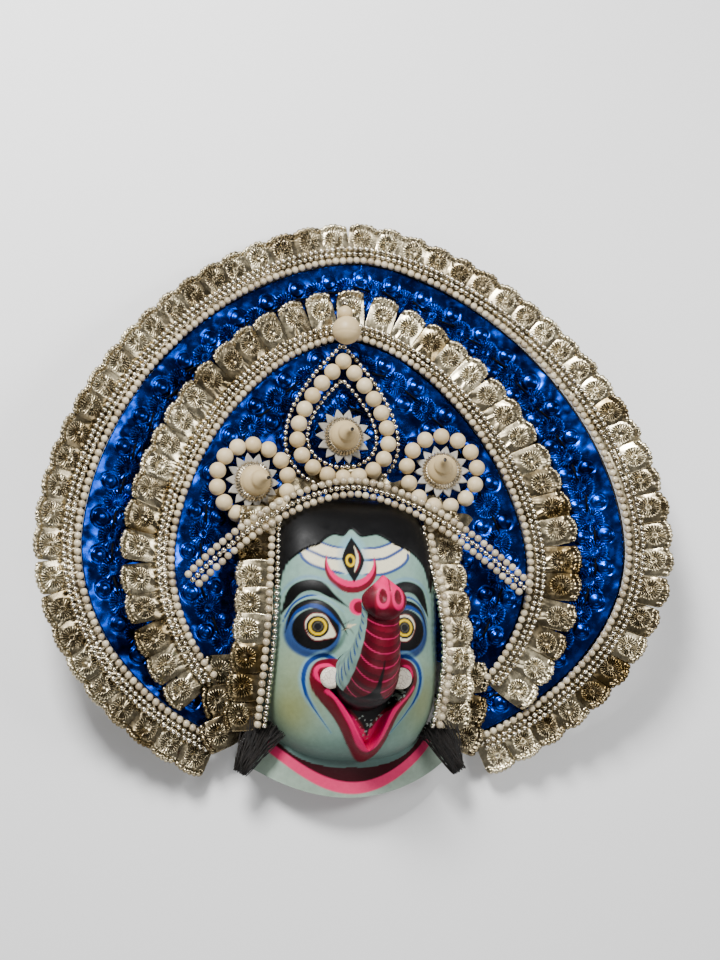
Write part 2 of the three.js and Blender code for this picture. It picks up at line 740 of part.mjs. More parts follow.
// The crest: three beads of falling size on the tip of the inner arch.
const crestLevel = innerBandLevel + seat(innerBandWidth, silverOffset + silverRowWidth / 2) + silverRowWidth + clearance;
const crestY = archCentreY + archAbove;
function crest() {
  const ball = (diameter, y, sides, rows) => {
    const geometry = new THREE.SphereGeometry(diameter / 2, sides, rows);
    geometry.translate(dropCentreX, y, crestLevel + diameter / 2);
    return solid(geometry);
  };
  const second = crestY + 0.5 * (crestDiameter + crestTopDiameter) - 2.5;
  const third = second + 0.5 * crestTopDiameter + 2;
  const bead = new THREE.SphereGeometry(3.5, 6, 4);
  bead.translate(dropCentreX, third, crestLevel + crestTopDiameter / 2);
  return geometryOf(ball(crestDiameter, crestY, 12, 6).add(ball(crestTopDiameter, second, 8, 5)).add(solid(bead)));
}
addPiece("crest_beads", crest(), "ivory");

// Three bead rows that arch over the brow, in front of the strips beside the face.
const rowLift = foilThickness + emboss + clearance;
const browLevel = stripHeight + rowLift + pearlDiameter + clearance;
const browRows = { brow_outer_pearls: [2, "pearl"], brow_silver: [1, "silver"], brow_inner_pearls: [0, "pearl"] };
for (const [name, [row, finish]] of Object.entries(browRows)) {
  const diameter = finish === "pearl" ? browPearl : silverDiameter;
  const out = row * ((browPearl + silverDiameter) / 2 + clearance);
  const place = (t) => {
    const across = mix(-1, 1, t);
    const bow = 1 - Math.abs(across) ** 1.7;
    const slope = Math.min(1, Math.abs(across) * 1.2);
    return [
      (browHalfWidth - browPearl) * across + headX * (1 - across ** 2) + out * slope * 0.75 * Math.sign(across),
      mix(browEndY, browApexY, bow) + out * Math.sqrt(1 - (0.75 * slope) ** 2) - browPearl,
      browLevel + browPearl / 2,
    ];
  };
  addPiece(name, rod(place, diameter, 26, 4), finish);
}

// Foil strips beside the face, each with a row of pearls and a row of silver beads on its inner side.
// The inner side lies on the swell of the cheek, and the outer side stays low.
function stripLine(name, side) {
  const [top, bottom, bow] = [stripTopX[name], stripBottomX[name], stripBow[name]];
  return (t, offset) => {
    const x = mix(top, bottom, t) + bow * Math.sin(Math.PI * t ** 1.25) + offset;
    const swell = stripSwell * Math.sin(Math.PI * t) * Math.max(0, 1 - offset / stripWidth);
    return [headX + side * x, mix(stripTopY, stripBottomY, t), stripHeight + swell];
  };
}
for (const [name, side] of [
  ["left", -1],
  ["right", 1],
]) {
  const line = stripLine(name, side);
  const steps = stripRosettes * rosetteSteps;
  const place = (i, j, lift) => {
    const swell = Math.sin((Math.PI * (i % rosetteSteps)) / rosetteSteps);
    const [x, y, z] = line(i / steps, j * (stripWidth - scallopDepth * (1 - swell)));
    return [x, y, z + (lift ? foilThickness + j * emboss * swell : 0)];
  };
  const foil = slab(steps, 1, (i, j) => place(i, j, true), (i, j) => place(i, j, false));
  addPiece("side_foil_" + name, foil, "goldFoil");
  const row = (offset, diameter) => (t) => {
    const [x, y, z] = line(t, offset);
    return [x, y, z + rowLift + diameter / 2];
  };
  addPiece("side_silver_" + name, rod(row(silverDiameter / 2, silverDiameter), silverDiameter, 14, 4), "silver");
  const pearlPlace = silverDiameter + pearlDiameter / 2 + clearance;
  addPiece("side_pearls_" + name, rod(row(pearlPlace, pearlDiameter), pearlDiameter, 14, 4), "pearl");
  const tuft = new THREE.SphereGeometry(0.5, 9, 6);
  tuft.scale(tuftWidth, tuftLength, tuftThickness);
  tuft.rotateZ(side * 0.5);
  tuft.translate(headX + side * tuftSpread, tuftY, tuftLevel + tuftThickness / 2);
  addPiece("tuft_" + name, tuft, "jute");
}

// The part's origin is the middle of its plan, on the table.
const middle = new THREE.Box3().setFromObject(group).getCenter(new THREE.Vector3());
group.position.set(-middle.x, -middle.y, 0);

export default group;
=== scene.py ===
import bpy
import math
import numpy as np
from mathutils import Matrix, Vector


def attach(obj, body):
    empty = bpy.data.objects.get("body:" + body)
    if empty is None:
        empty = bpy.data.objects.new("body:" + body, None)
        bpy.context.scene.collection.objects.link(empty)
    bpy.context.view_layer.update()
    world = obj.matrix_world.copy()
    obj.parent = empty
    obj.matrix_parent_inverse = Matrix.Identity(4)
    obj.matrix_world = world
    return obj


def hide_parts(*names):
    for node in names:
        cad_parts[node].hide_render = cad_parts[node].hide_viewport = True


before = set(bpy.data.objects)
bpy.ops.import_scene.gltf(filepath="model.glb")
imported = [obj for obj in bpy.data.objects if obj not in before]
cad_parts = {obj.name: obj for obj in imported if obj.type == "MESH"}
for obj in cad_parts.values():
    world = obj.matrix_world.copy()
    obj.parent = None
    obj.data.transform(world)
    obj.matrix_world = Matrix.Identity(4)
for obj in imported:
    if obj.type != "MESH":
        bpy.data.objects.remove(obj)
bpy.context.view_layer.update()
bpy.ops.object.select_all(action="DESELECT")

# The head: papier-mache laid in layers over a clay form and taken off as a hollow shell with an open back, its
# surface closed with cloth and clay slip. The neck flares to a hem, and the mouth is a thick three-cornered lip.
# Sizes are in millimetres, across from the head's own centre line.
head_x, head_y, face_x = -8.0, -155.0, -10.0
head_half_width, head_above, head_below = 89.0, 155.0, 103.0
head_squareness, crown_squareness, head_depth, dome_squareness = 2.6, 4.4, 84.0, 2.6
shell_wall = 5.0
eye_spread, eye_y, eye_radius, eye_bulge = 41.0, -130.0, 30.0, 7.0
neck_top, neck_hem = (72.0, 50.0, -215.0), (104.0, 34.0, -285.9)
neck_hem_rise = 36.0
lip_tip_lift = 4.0
hair_marks = [(-76, -92), (-66, -72), (-56, -62), (-46, -56), (-37, -53), (-30, -47), (-22, -43), (-13, -44), (-5, -37),
              (3, -44), (12, -43), (20, -42), (28, -46), (36, -51), (46, -55), (56, -61), (66, -72), (76, -92)]
lip_marks = [(0, -163), (-24, -159), (-40, -161), (-47, -172), (-44, -188), (-23, -213), (-8, -237), (2, -249),
             (11, -253), (19, -249), (26, -238), (37, -211), (52, -188), (55, -172), (47, -160), (28, -158)]


def smooth(t):
    t = np.clip(t, 0, 1)
    return t * t * (3 - 2 * t)


def line_through(marks, looped=False, per=8):
    """A smooth line through marked points."""
    p = np.array(marks, float)
    n = len(p)
    get = (lambda k: p[k % n]) if looped else (lambda k: p[min(max(k, 0), n - 1)])
    out = []
    for k in range(n if looped else n - 1):
        a, b, c, d = get(k - 1), get(k), get(k + 1), get(k + 2)
        for t in np.arange(per) / per:
            out.append(0.5 * (2 * b + (c - a) * t + (2 * a - 5 * b + 4 * c - d) * t**2
                              + (3 * b - a - 3 * c + d) * t**3))
    if not looped:
        out.append(p[-1])
    return np.array(out)


def distance(x, y, line, looped=False):
    """How far each place is from a line, less than nothing inside a looped one, and the share along it."""
    ends = np.roll(line, -1, axis=0) if looped else line[1:]
    starts = line if looped else line[:-1]
    best = np.full(x.shape, 1e9)
    along = np.zeros(x.shape)
    inside = np.zeros(x.shape, bool)
    for k, ((ax, ay), (bx, by)) in enumerate(zip(starts, ends)):
        ex, ey = bx - ax, by - ay
        t = np.clip(((x - ax) * ex + (y - ay) * ey) / (ex * ex + ey * ey + 1e-12), 0, 1)
        d = np.hypot(x - ax - t * ex, y - ay - t * ey)
        along = np.where(d < best, (k + t) / len(starts), along)
        best = np.minimum(best, d)
        if looped:
            inside ^= ((ay > y) != (by > y)) & (x < ex * (y - ay) / (by - ay + 1e-12) + ax)
    return np.where(inside, -best, best), along


def dome(share, inset):
    return (head_depth - inset) * np.clip(1 - np.minimum(share, 1) ** dome_squareness, 0, 1) ** (1 / dome_squareness)


def head_share(x, y):
    """0 at the middle of the head, 1 on its outline."""
    reach = np.where(y > head_y, head_above, head_below)
    power = np.where(y > head_y, crown_squareness, head_squareness)
    return (np.abs(x / head_half_width) ** power + np.abs((y - head_y) / reach) ** power) ** (1 / power)


hair_edge = line_through(hair_marks + [(84, 10), (-84, 10)], True, 6)
lip_edge = line_through(lip_marks, True, 6)


def face_height(x, y):
    share = head_share(x, y)
    rim = smooth((1 - share) / 0.12)
    x = x + head_x - face_x
    ax = np.abs(x)
    away = np.hypot(ax - eye_spread, y - eye_y)
    eye = np.sqrt(np.clip(1 - (away / eye_radius) ** 2, 0, 1)) * smooth((eye_radius - away) / 7)
    cheek = 3 * np.exp(-((ax - 52) / 20) ** 2 - ((y + 178) / 26) ** 2)
    brow = 1.5 * np.exp(-((y + 93 + 0.004 * (ax - 45) ** 2) / 9) ** 2) * smooth((ax - 10) / 12) * smooth((78 - ax) / 20)
    hair, _ = distance(x, y, hair_edge, True)
    lip, _ = distance(x, y, lip_edge, True)
    across = np.clip(-lip / 15, 0, 1)
    lift = 12 + lip_tip_lift * smooth((-196 - y) / 46) ** 1.5
    ridge = lift * np.sin(np.pi * np.clip(across * 0.62, 0, 1)) ** 0.8 * smooth((1 - across) / 0.32)
    chin = 0.45 * lip_tip_lift * smooth((-200 - y) / 44) * smooth((14 - lip) / 14)
    chin = chin * smooth((1 - share) / 0.16) * (across <= 0)
    hairline = 1.6 * smooth(-hair / 1.6)
    raised = rim * (cheek + brow + hairline) + smooth((1 - share) / 0.05) * (ridge + chin)
    return dome(share, 0) + eye_bulge * eye + raised


def places(piece):
    """Where each corner lies, in millimetres."""
    flat = np.empty(len(piece.data.vertices) * 3)
    piece.data.vertices.foreach_get("co", flat)
    return flat.reshape(-1, 3) * 1000


def moved_to(piece, spots):
    piece.data.vertices.foreach_set("co", (spots * 0.001).ravel())
    piece.data.update()


def formed(name, columns, rows, shape):
    """A grid laid to a shape; shape(u, v), both 0 to 1, gives the places in millimetres."""
    bpy.ops.mesh.primitive_grid_add(x_subdivisions=columns, y_subdivisions=rows, size=1)
    piece = bpy.context.object
    piece.name = piece.data.name = name
    flat = np.empty(len(piece.data.vertices) * 3)
    piece.data.vertices.foreach_get("co", flat)
    u, v, _ = (flat.reshape(-1, 3) + 0.5).T
    moved_to(piece, np.column_stack(shape(u, v)))
    return piece


def taken_up(piece):
    """Makes the piece the only one that the next step works on."""
    bpy.ops.object.select_all(action="DESELECT")
    bpy.context.view_layer.objects.active = piece
    piece.select_set(True)


def closed(piece, gap=1e-5):
    """Joins the seam, fills the open ends and turns every face outwards."""
    taken_up(piece)
    bpy.ops.object.mode_set(mode="EDIT")
    bpy.ops.mesh.select_all(action="SELECT")
    bpy.ops.mesh.remove_doubles(threshold=gap)
    bpy.ops.mesh.fill_holes(sides=0)
    bpy.ops.mesh.select_all(action="SELECT")
    bpy.ops.mesh.normals_make_consistent(inside=False)
    bpy.ops.object.mode_set(mode="OBJECT")
    return piece


def modifier(piece, kind, **values):
    taken_up(piece)
    step = piece.modifiers.new(kind.lower(), kind)
    for key, value in values.items():
        setattr(step, key, value)
    bpy.ops.object.modifier_apply(modifier=step.name)


def carve(piece, other, operation):
    modifier(piece, "BOOLEAN", object=other, operation=operation, solver="MANIFOLD")
    bpy.data.objects.remove(other)


def smoothed(piece, angle=50):
    taken_up(piece)
    bpy.ops.object.shade_smooth_by_angle(angle=math.radians(angle))
    bpy.ops.object.select_all(action="DESELECT")


def head_form(name, columns, rows, inset, floor):
    def shape(u, v):
        u, v = 2 * u - 1, 2 * v - 1
        m = np.maximum(np.abs(u), np.abs(v))
        du, dv = u / np.maximum(m, 1e-9), v / np.maximum(m, 1e-9)
        power = np.where(dv > 0, crown_squareness, head_squareness)
        push = 1 / np.maximum(np.abs(du) ** power + np.abs(dv) ** power, 1e-9) ** (1 / power)
        share = np.where(m < 0.78, m, 0.78 + 0.22 * np.sin(np.pi / 2 * (m - 0.78) / 0.22))
        reach = np.where(dv > 0, head_above, head_below) - inset
        x = (head_half_width - inset) * du * push * share
        y = head_y + reach * dv * push * share
        z = face_height(x, y) if inset == 0 else dome(share, inset)
        return head_x + x, y, np.where(m > 0.9999, floor, z)

    return closed(formed(name, columns, rows, shape))


def neck_form(name, inset, floor, past):
    def shape(u, v):
        t = 1 - v
        bend = 0.5 * smooth(t) + 0.5 * t
        half = neck_top[0] + (neck_hem[0] - neck_top[0]) * bend - inset
        deep = neck_top[1] + (neck_hem[1] - neck_top[1]) * bend - inset
        over = np.clip(u / 0.7, 0, 1)
        back = np.clip((u - 0.7) / 0.3, 0, 1)
        across = np.where(u <= 0.7, -np.cos(np.pi * over), 1 - 2 * back)
        hem = neck_hem[2] + neck_hem_rise * across**2 - past * np.where(v < 0.001, 6, 1)
        y = (neck_top[2] + past) * (1 - t) + hem * t
        z = np.where(u <= 0.7, np.maximum(deep * np.sqrt(np.clip(1 - across**2, 0, 1)), floor + 0.01), floor)
        return head_x + half * across, y, np.where((u > 0.699) | (u < 0.001), floor, z)

    return closed(formed(name, *((230, 84) if inset == 0 else (110, 36)), shape))


head = head_form("head", 190, 280, 0.0, 0.0)
neck = neck_form("neck_form", 0.0, 0.0, 0.0)
hollow = head_form("hollow", 70, 100, shell_wall, -1.0)
throat = neck_form("throat", shell_wall, -1.0, 9.0)
carve(head, neck, "UNION")
carve(hollow, throat, "UNION")
carve(head, hollow, "DIFFERENCE")

# The paint on the head: a pale blue-green ground patched with olive on the cheeks and jowls, a darker grey painted in
# as shade towards the face's lower edges and under the mouth, glossy black hair, the forehead bands, third eye,
# crescent, brows, eyes and lips, each laid on with a brush, and a few chips where the ground shows.
skin_paint, olive, painted_shade_grey = (116, 146, 134), (126, 126, 66), (72, 92, 88)
black, cream, blue_line = (4, 4, 5), (216, 208, 178), (8, 48, 112)
pink, crimson, dark_red, yellow = (212, 0, 92), (96, 0, 22), (44, 0, 8), (212, 176, 0)


def linear(colour):
    c = np.array(colour, float) / 255
    return np.where(c <= 0.04045, c / 12.92, ((c + 0.055) / 1.055) ** 2.4)


def laid(ground, colour, amount):
    """One colour brushed over the ground where amount is 1."""
    a = np.clip(amount, 0, 1)[:, None]
    return ground * (1 - a) + linear(colour) * a


def inside(x, y, marks, soft=0.7, per=8):
    d, _ = distance(x, y, line_through(marks, True, per), True)
    return np.clip(0.5 - d / soft, 0, 1)


def stroke(x, y, marks, widest, tapers=(0.25, 0.25), soft=0.7):
    """A brush stroke that thins towards its ends."""
    d, along = distance(x, y, line_through(marks))
    width = widest * smooth(along / max(tapers[0], 1e-6) + 0.12) * smooth((1 - along) / max(tapers[1], 1e-6) + 0.12)
    return np.clip(0.5 + (width / 2 - d) / soft, 0, 1)


def disc(x, y, cx, cy, rx, ry=None, soft=0.7):
    ry = ry or rx
    return np.clip(0.5 - (np.hypot((x - cx) / rx, (y - cy) / ry) - 1) * min(rx, ry) / soft, 0, 1)


def haze(x, y, cx, cy, rx, ry):
    return np.exp(-(((x - cx) / rx) ** 2 + ((y - cy) / ry) ** 2))


def speckle(x, y, size, seed):
    """Soft random patches, 0 to 1."""
    table = np.random.default_rng(seed).random(4096)
    gx, gy = np.floor(x / size).astype(int), np.floor(y / size).astype(int)
    fx, fy = smooth(x / size - gx), smooth(y / size - gy)
    at = lambda i, j: table[((gx + i) * 57 + (gy + j) * 131) % 4096]
    return (at(0, 0) * (1 - fx) + at(1, 0) * fx) * (1 - fy) + (at(0, 1) * (1 - fx) + at(1, 1) * fx) * fy


def head_paint(x, y, z):
    share = head_share(x, y)
    x = x + head_x - face_x
    c = np.tile(linear(skin_paint), (len(x), 1))
    grain = speckle(x, y, 9, 1) * 0.5 + speckle(x, y, 3, 2) * 0.5
    c *= (0.9 + 0.2 * grain)[:, None]
    shade = 0.75 * haze(x, y, -62, -206, 26, 30) + 0.6 * haze(x, y, 62, -196, 22, 34)
    c = laid(c, olive, shade + 0.35 * haze(x, y, -62, -160, 20, 24))
    # Painted shade: a darker grey laid towards the rim of the lower face and under the mouth and chin.
    shade = 0.8 * smooth((share - 0.8) / 0.2) * (y < -120) + 0.35 * haze(x, y, 0, -246, 60, 16)
    c = laid(c, painted_shade_grey, shade + 0.25 * haze(x, y, 30, -225, 22, 16))
    low = y < -205
    on_neck = low & ((share > 1) | ((z < 60) & (z < dome(share, 0) - 2)))
    # the bands across the forehead
    left = [(-35, -50.5), (-25, -53.5), (-14, -55), (-9, -66), (-11, -80), (-22, -79.5), (-31, -77), (-45, -72),
            (-54, -62), (-48, -55)]
    right = [(5, -55), (20, -53.5), (33, -49), (44, -53), (51, -57), (49, -64), (39, -73), (22, -80), (0, -80),
             (-2, -66)]
    for patch in (left, right):
        c = laid(c, cream, inside(x, y, patch) * (0.92 + 0.08 * grain))
    for width, marks in ((2.4, [(-36, -50), (-25, -54), (-13, -55.5)]),
                         (2.4, [(4, -55.5), (20, -54), (34, -48.5)]),
                         (2.8, [(-51, -56), (-41, -61), (-31, -65), (-13, -66.5)]),
                         (2.8, [(3, -67), (16, -66), (28, -63.5), (46, -53)]),
                         (2.8, [(-54, -60), (-52, -66), (-45, -72), (-31, -77), (-13, -80.5)]),
                         (2.8, [(2, -80.5), (22, -80), (39, -73), (48, -65), (49, -58)])):
        c = laid(c, blue_line, 0.95 * stroke(x, y, marks, width, (0.12, 0.12)))
    # the crescent, and the third eye standing in its glow
    c = laid(c, (112, 160, 186), 0.9 * np.clip(1.5 - 1.5 * np.hypot((x + 5.5) / 17, (y + 66) / 27), 0, 1))
    cut = 1 - disc(x, y, -8, -64.5, 22.5)
    c = laid(c, crimson, disc(x, y, -8, -73.5, 25) * cut)
    c = laid(c, pink, disc(x, y, -8, -69.5, 23.4) * cut)
    almond = 10.7 * np.clip(1 - (np.abs(y + 66.5) / 21.8) ** 1.45, 0, 1) - np.abs(x + 5.5)
    c = laid(c, black, np.clip(0.5 + almond / 0.7, 0, 1) * (np.abs(y + 66.5) < 21.8))
    c = laid(c, cream, stroke(x, y, [(-4, -53), (-1.5, -60), (-1.5, -68), (-5, -79)], 2.6, (0.4, 0.3)))
    c = laid(c, crimson, stroke(x, y, [(-2.6, -55), (0.6, -62), (0.2, -70), (-4.2, -80)], 1.9, (0.3, 0.3)))
    c = laid(c, yellow, disc(x, y, -8.2, -67.5, 4.6, 5.9))
    c = laid(c, black, disc(x, y, -8.2, -67.5, 2.5, 3.7))
    c = laid(c, pink, disc(x, y, -3, -111, 7.8))
    c = laid(c, crimson, disc(x, y, -1.2, -111.5, 5.4))
    for side in (-1, 1):
        m = lambda marks: [(side * -px, py) for px, py in marks]
        ex, ey = side * eye_spread, eye_y
        brow = m([(-71, -119), (-66, -108), (-59, -96), (-49, -91.5), (-38, -93), (-27, -101), (-11, -112)])
        over_brow = m([(-74, -106), (-66, -92), (-53, -84), (-38, -85), (-25, -92), (-16, -100)])
        c = laid(c, (92, 124, 146), 0.7 * stroke(x, y, over_brow, 3.4, (0.4, 0.5), 2.5))
        under_brow = m([(-68, -119), (-58, -105), (-46, -100.5), (-32, -105), (-16, -116)])
        c = laid(c, (104, 140, 158), 0.8 * stroke(x, y, under_brow, 3, (0.4, 0.4), 2.5))
        c = laid(c, black, stroke(x, y, brow, 10.5, (0.4, 0.42)))
        c = laid(c, blue_line, 0.9 * disc(x, y, side * 44, -134, 24.5, 24.5, 2.5) * smooth((-116 - y) / 10))
        c = laid(c, black, disc(x, y, side * 42.2, -132.2, 20.5, 19.2))
        lid = m([(-67, -129), (-60, -116.5), (-45, -110.5), (-31, -117), (-19, -132)])
        c = laid(c, blue_line, stroke(x, y, lid, 4.4, (0.2, 0.3)))
        c = laid(c, blue_line, stroke(x, y, m([(-70, -127), (-62, -110), (-51, -102), (-40, -101)]), 1.8))
        lash = m([(-67.5, -135), (-61, -114.5), (-45, -106.5), (-28.5, -114.5), (-12, -138)])
        c = laid(c, black, stroke(x, y, lash, 4.6, (0.45, 0.25)))
        white = m([(-52, -128), (-49, -121), (-43, -118), (-35, -120), (-30, -127), (-25, -138), (-34, -141),
                   (-43, -142), (-49, -137)])
        red_edge = [((px - ex) * 1.08 + ex, (py - ey) * 1.08 + ey) for px, py in white]
        c = laid(c, crimson, inside(x, y, red_edge) * 0.85)
        c = laid(c, cream, inside(x, y, white))
        for colour, radius in ((black, 10.2), (yellow, 7.9), (black, 5.9)):
            c = laid(c, colour, disc(x, y, ex, ey, radius))
        # A faint pale ring in each pupil is a painted highlight, the sheen on the glossy black.
        c = laid(c, cream, 0.1 * (disc(x, y, ex, ey, 4.1) - disc(x, y, ex, ey, 3.4)))
        slide = 2.7 if side < 0 else 4.5
        slide = 2.7 if side < 0 else 4.5
        curl = m([(-22, -163), (-30, -158), (-40, -156), (-51, -163), (-55, -176), (-52, -191), (-42, -207),
                  (-27, -226)])
        curl = [(px + slide, py) for px, py in curl]
        c = laid(c, (104, 150, 170), 0.7 * stroke(x, y, curl, 7.5, (0.2, 0.5), 3))
        c = laid(c, blue_line, stroke(x, y, curl, 4, (0.2, 0.6)))
    # the lips
    lip, _ = distance(x, y, lip_edge, True)
    c = laid(c, crimson, np.clip(0.5 - lip / 0.8, 0, 1))
    c = laid(c, dark_red, 0.55 * smooth((-lip - 6) / 5))
    vee = [(-35, -187), (-26, -197), (-12, -218), (-2, -236), (8, -243), (16, -239), (22, -230), (33, -207),
           (46, -192), (50, -183), (22, -178), (-10, -178)]
    c = laid(c, pink, inside(x, y, vee))
    mouth = [(-34, -176), (-26, -188), (-10, -203), (4, -219), (9, -229), (12, -219), (22, -206), (34, -197),
             (44, -187), (46, -174), (5, -168)]
    past_mouth, _ = distance(x, y, line_through(mouth, True), True)
    c = laid(c, crimson, np.clip(0.5 + (2.2 - past_mouth) / 0.8, 0, 1) * (y > -222))
    c = laid(c, black, inside(x, y, mouth, 1.2))
    corner = stroke(x, y, [(-38, -182), (-43, -174), (-41, -167), (-33, -165), (-26, -168)], 3.2)
    c = laid(c, pink, corner + stroke(x, y, [(41, -182), (46, -174), (44, -167), (37, -165)], 3.2))
    flecks = (speckle(x, y, 1.7, 5) > 0.72) & (speckle(x, y, 4.5, 6) > 0.5)
    seam = np.abs(past_mouth + 2) < 4.5
    c = laid(c, (150, 168, 158), 0.85 * (flecks & seam & (y < -186)) * (lip < -5))
    # the black hair
    hair, _ = distance(x, y, hair_edge, True)
    c = laid(c, black, np.clip(0.5 - hair / 0.8, 0, 1))
    # a chip by the nose, and the scratches about it
    chip = disc(x, y, -11, -129, 2.2, 1.4, 1) + stroke(x, y, [(-16, -133), (-11, -129), (-4, -127)], 1.2)
    c = laid(c, (204, 184, 148), chip)
    scratch = stroke(x, y, [(-20, -134), (-12, -131), (-6, -137)], 0.9)
    c = laid(c, (60, 52, 44), scratch + stroke(x, y, [(-18, -128), (-6, -123)], 0.7))
    # collar bands on the neck
    band_x = [-104, -88, -70, -40, -10, 12, 40, 62, 82, 100]
    band_y = [-210, -221, -236, -258, -270, -270, -263, -248, -229, -212]
    band = np.polyval(np.polyfit(band_x, band_y, 4), x)
    neck_ground = laid(np.tile(linear((150, 168, 154)), (len(x), 1)), (92, 100, 84), 0.5 * speckle(x, y, 26, 9))
    neck_ground *= (0.88 + 0.22 * grain)[:, None]
    neck_ground = laid(neck_ground, pink, 0.9 * np.clip(0.5 + (y - band + 11) / 0.9, 0, 1))
    neck_ground = laid(neck_ground, dark_red, np.clip(0.5 + (y - band) / 0.9, 0, 1))
    return np.where(on_neck[:, None], neck_ground, c)


def painted(piece, colours, name="paint"):
    layer = piece.data.color_attributes.new(name, "FLOAT_COLOR", "POINT")
    layer.data.foreach_set("color", np.column_stack((colours, np.ones(len(colours)))).astype(np.float32).ravel())


def matter(name):
    m = bpy.data.materials.new(name)
    m.use_nodes = True
    return m, m.node_tree, m.node_tree.nodes["Principled BSDF"]


def add(tree, kind, inputs=None, **props):
    """One shader node, its inputs given as values or as other nodes' outputs."""
    n = tree.nodes.new("ShaderNode" + kind)
    for key, value in props.items():
        setattr(n, key, value)
    for key, value in (inputs or {}).items():
        if isinstance(value, bpy.types.NodeSocket):
            tree.links.new(value, n.inputs[key])
        else:
            n.inputs[key].default_value = value
    return n


def noise(tree, scale, detail=3.0, rough=0.6):
    place = add(tree, "TexCoord").outputs["Object"]
    return add(tree, "TexNoise", {"Vector": place, "Scale": scale, "Detail": detail, "Roughness": rough}).outputs["Fac"]


def spread(tree, value, low, high, start=0.3, end=0.7):
    """Spreads what the value does from start to end over low to high."""
    ends = {"From Min": start, "From Max": end, "To Min": low, "To Max": high}
    return add(tree, "MapRange", {"Value": value, **ends}).outputs["Result"]


def between(tree, share, low, high):
    """A colour on the way from one to the other."""
    mixed = add(tree, "Mix", {"Factor": share}, data_type="RGBA")
    mixed.inputs["A"].default_value, mixed.inputs["B"].default_value = (*linear(low), 1), (*linear(high), 1)
    return mixed.outputs["Result"]


def scaled(tree, colour, share):
    return add(tree, "VectorMath", {0: colour, "Scale": share}, operation="SCALE").outputs["Vector"]


def bumped(tree, shader, height, strength, reach):
    bump = add(tree, "Bump", {"Height": height, "Strength": strength, "Distance": reach})
    tree.links.new(bump.outputs["Normal"], shader.inputs["Normal"])


def wear(piece, material):
    piece.data.materials.clear()
    piece.data.materials.append(material)


paint_matter, tree, shader = matter("painted papier-mache")
coat = add(tree, "Attribute", attribute_name="paint").outputs["Color"]
tone = spread(tree, noise(tree, 260, 4), 0.93, 1.05)
tree.links.new(scaled(tree, coat, tone), shader.inputs["Base Color"])
tree.links.new(spread(tree, noise(tree, 90), 0.4, 0.55), shader.inputs["Roughness"])
shader.inputs["Specular IOR Level"].default_value = 0.16
bumped(tree, shader, noise(tree, 420, 5), 0.16, 0.0006)

where = places(head)
across, up, high = where[:, 0] - head_x, where[:, 1], where[:, 2]
colours = head_paint(across, up, high)
# inside the shell the brown paper is bare
under = dome(head_share(across, up), 0)
inner = (head_share(across, up) < 1.2) & (high < under - 3.2) & (high < 80)
within_neck = (np.abs(high - under) > 2) & (up < -205)
colours[inner & ~within_neck] = linear((132, 106, 74))
painted(head, colours)
wear(head, paint_matter)
smoothed(head)
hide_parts("face_mask")
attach(head, "root")

# The trunk: a bent, tapering tube standing out of the mouth, crimson and ringed with thin pink lines in front, with
# blue dashes up its pale side, a dark split low on the right and a pointed snout with two drop-shaped nostrils.
trunk_path = line_through([(-172, 62), (-177, 80), (-173, 102), (-161, 124), (-142, 140), (-123, 147), (-106, 150)],
                          per=12)
trunk_root, trunk_end = 31.0, 17.0
snout_at, snout_size, snout_turn = (-109.0, 159.0), (39.0, 41.0, 25.0), -0.3


def along_trunk(t):
    """The middle of the trunk and its lengthwise direction, in y and z."""
    k = np.clip(t, 0, 1) * (len(trunk_path) - 1)
    run = np.gradient(trunk_path, axis=0)
    pick = lambda table: np.column_stack([np.interp(k, np.arange(len(table)), table[:, j]) for j in (0, 1)])
    middle, way = pick(trunk_path), pick(run)
    return middle, way / np.linalg.norm(way, axis=1)[:, None]


def trunk_shape(u, v):
    angle = 2 * np.pi * u
    middle, way = along_trunk(v)
    radius = trunk_root + (trunk_end - trunk_root) * smooth(1.25 * v**1.3)
    radius = radius * (1 + 0.014 * np.cos(2 * np.pi * 11 * v) * (v > 0.15))
    radius = radius * np.where((v > 0.999) | (v < 0.001), 0.6, 1)
    front = np.cos(angle) * radius * 0.96
    x = head_x + np.sin(angle) * radius
    spots_on_trunk[:] = [(np.degrees(angle) + 180) % 360 - 180, v]
    return x, middle[:, 0] - way[:, 1] * front, middle[:, 1] + way[:, 0] * front


spots_on_trunk = []
trunk = formed("trunk", 144, 190, trunk_shape)
around, along = spots_on_trunk
c = np.tile(linear((108, 136, 128)), (len(around), 1))
c *= (0.84 + 0.3 * speckle(around, along * 90, 12, 11))[:, None]
dash = np.abs(((along * 20 + (around + 72) / 46) % 1) - 0.5)
dashes = 0.9 * np.clip((0.2 - dash) * 12, 0, 1) * smooth((around + 100) / 8) * smooth((-66 - around) / 6)
c = laid(c, blue_line, dashes * (along > 0.16))
bow = (around - 14) / 60
edge = around + 58 - 12 * smooth((0.3 - along) / 0.3) - 2 * speckle(along * 90, along * 40, 7, 12)
front = np.clip(edge / 2, 0, 1) * smooth((122 - around) / 12)
c = laid(c, (100, 0, 26), front)
c = laid(c, dark_red, front * 0.7 * smooth((np.abs(bow) - 0.3) / 0.7))
ring = ((along * 13.5 - 0.4 * bow**2) % 1)
c = laid(c, dark_red, front * 0.55 * smooth((ring - 0.45) / 0.5))
c = laid(c, (196, 30, 92), front * np.clip((0.055 - np.abs(ring - 0.5)) * 40, 0, 1) * (along > 0.1) * (along < 0.93))
wedge = np.interp(along, [0, 0.22, 0.27, 0.32, 0.36, 0.4, 0.45, 0.52, 0.6], [200, 170, 90, 38, 24, 13, 7, 4.5, 2])
lean = np.interp(along, [0.27, 0.32, 0.36, 0.4, 0.45, 0.52, 0.6], [-8, -5, -1, 3, 5, 7, 9])
c = laid(c, black, np.clip((wedge - np.abs(around - lean)) / 2, 0, 1) * (along < 0.6))
painted(trunk, c)
closed(trunk)
wear(trunk, paint_matter)
smoothed(trunk, 60)


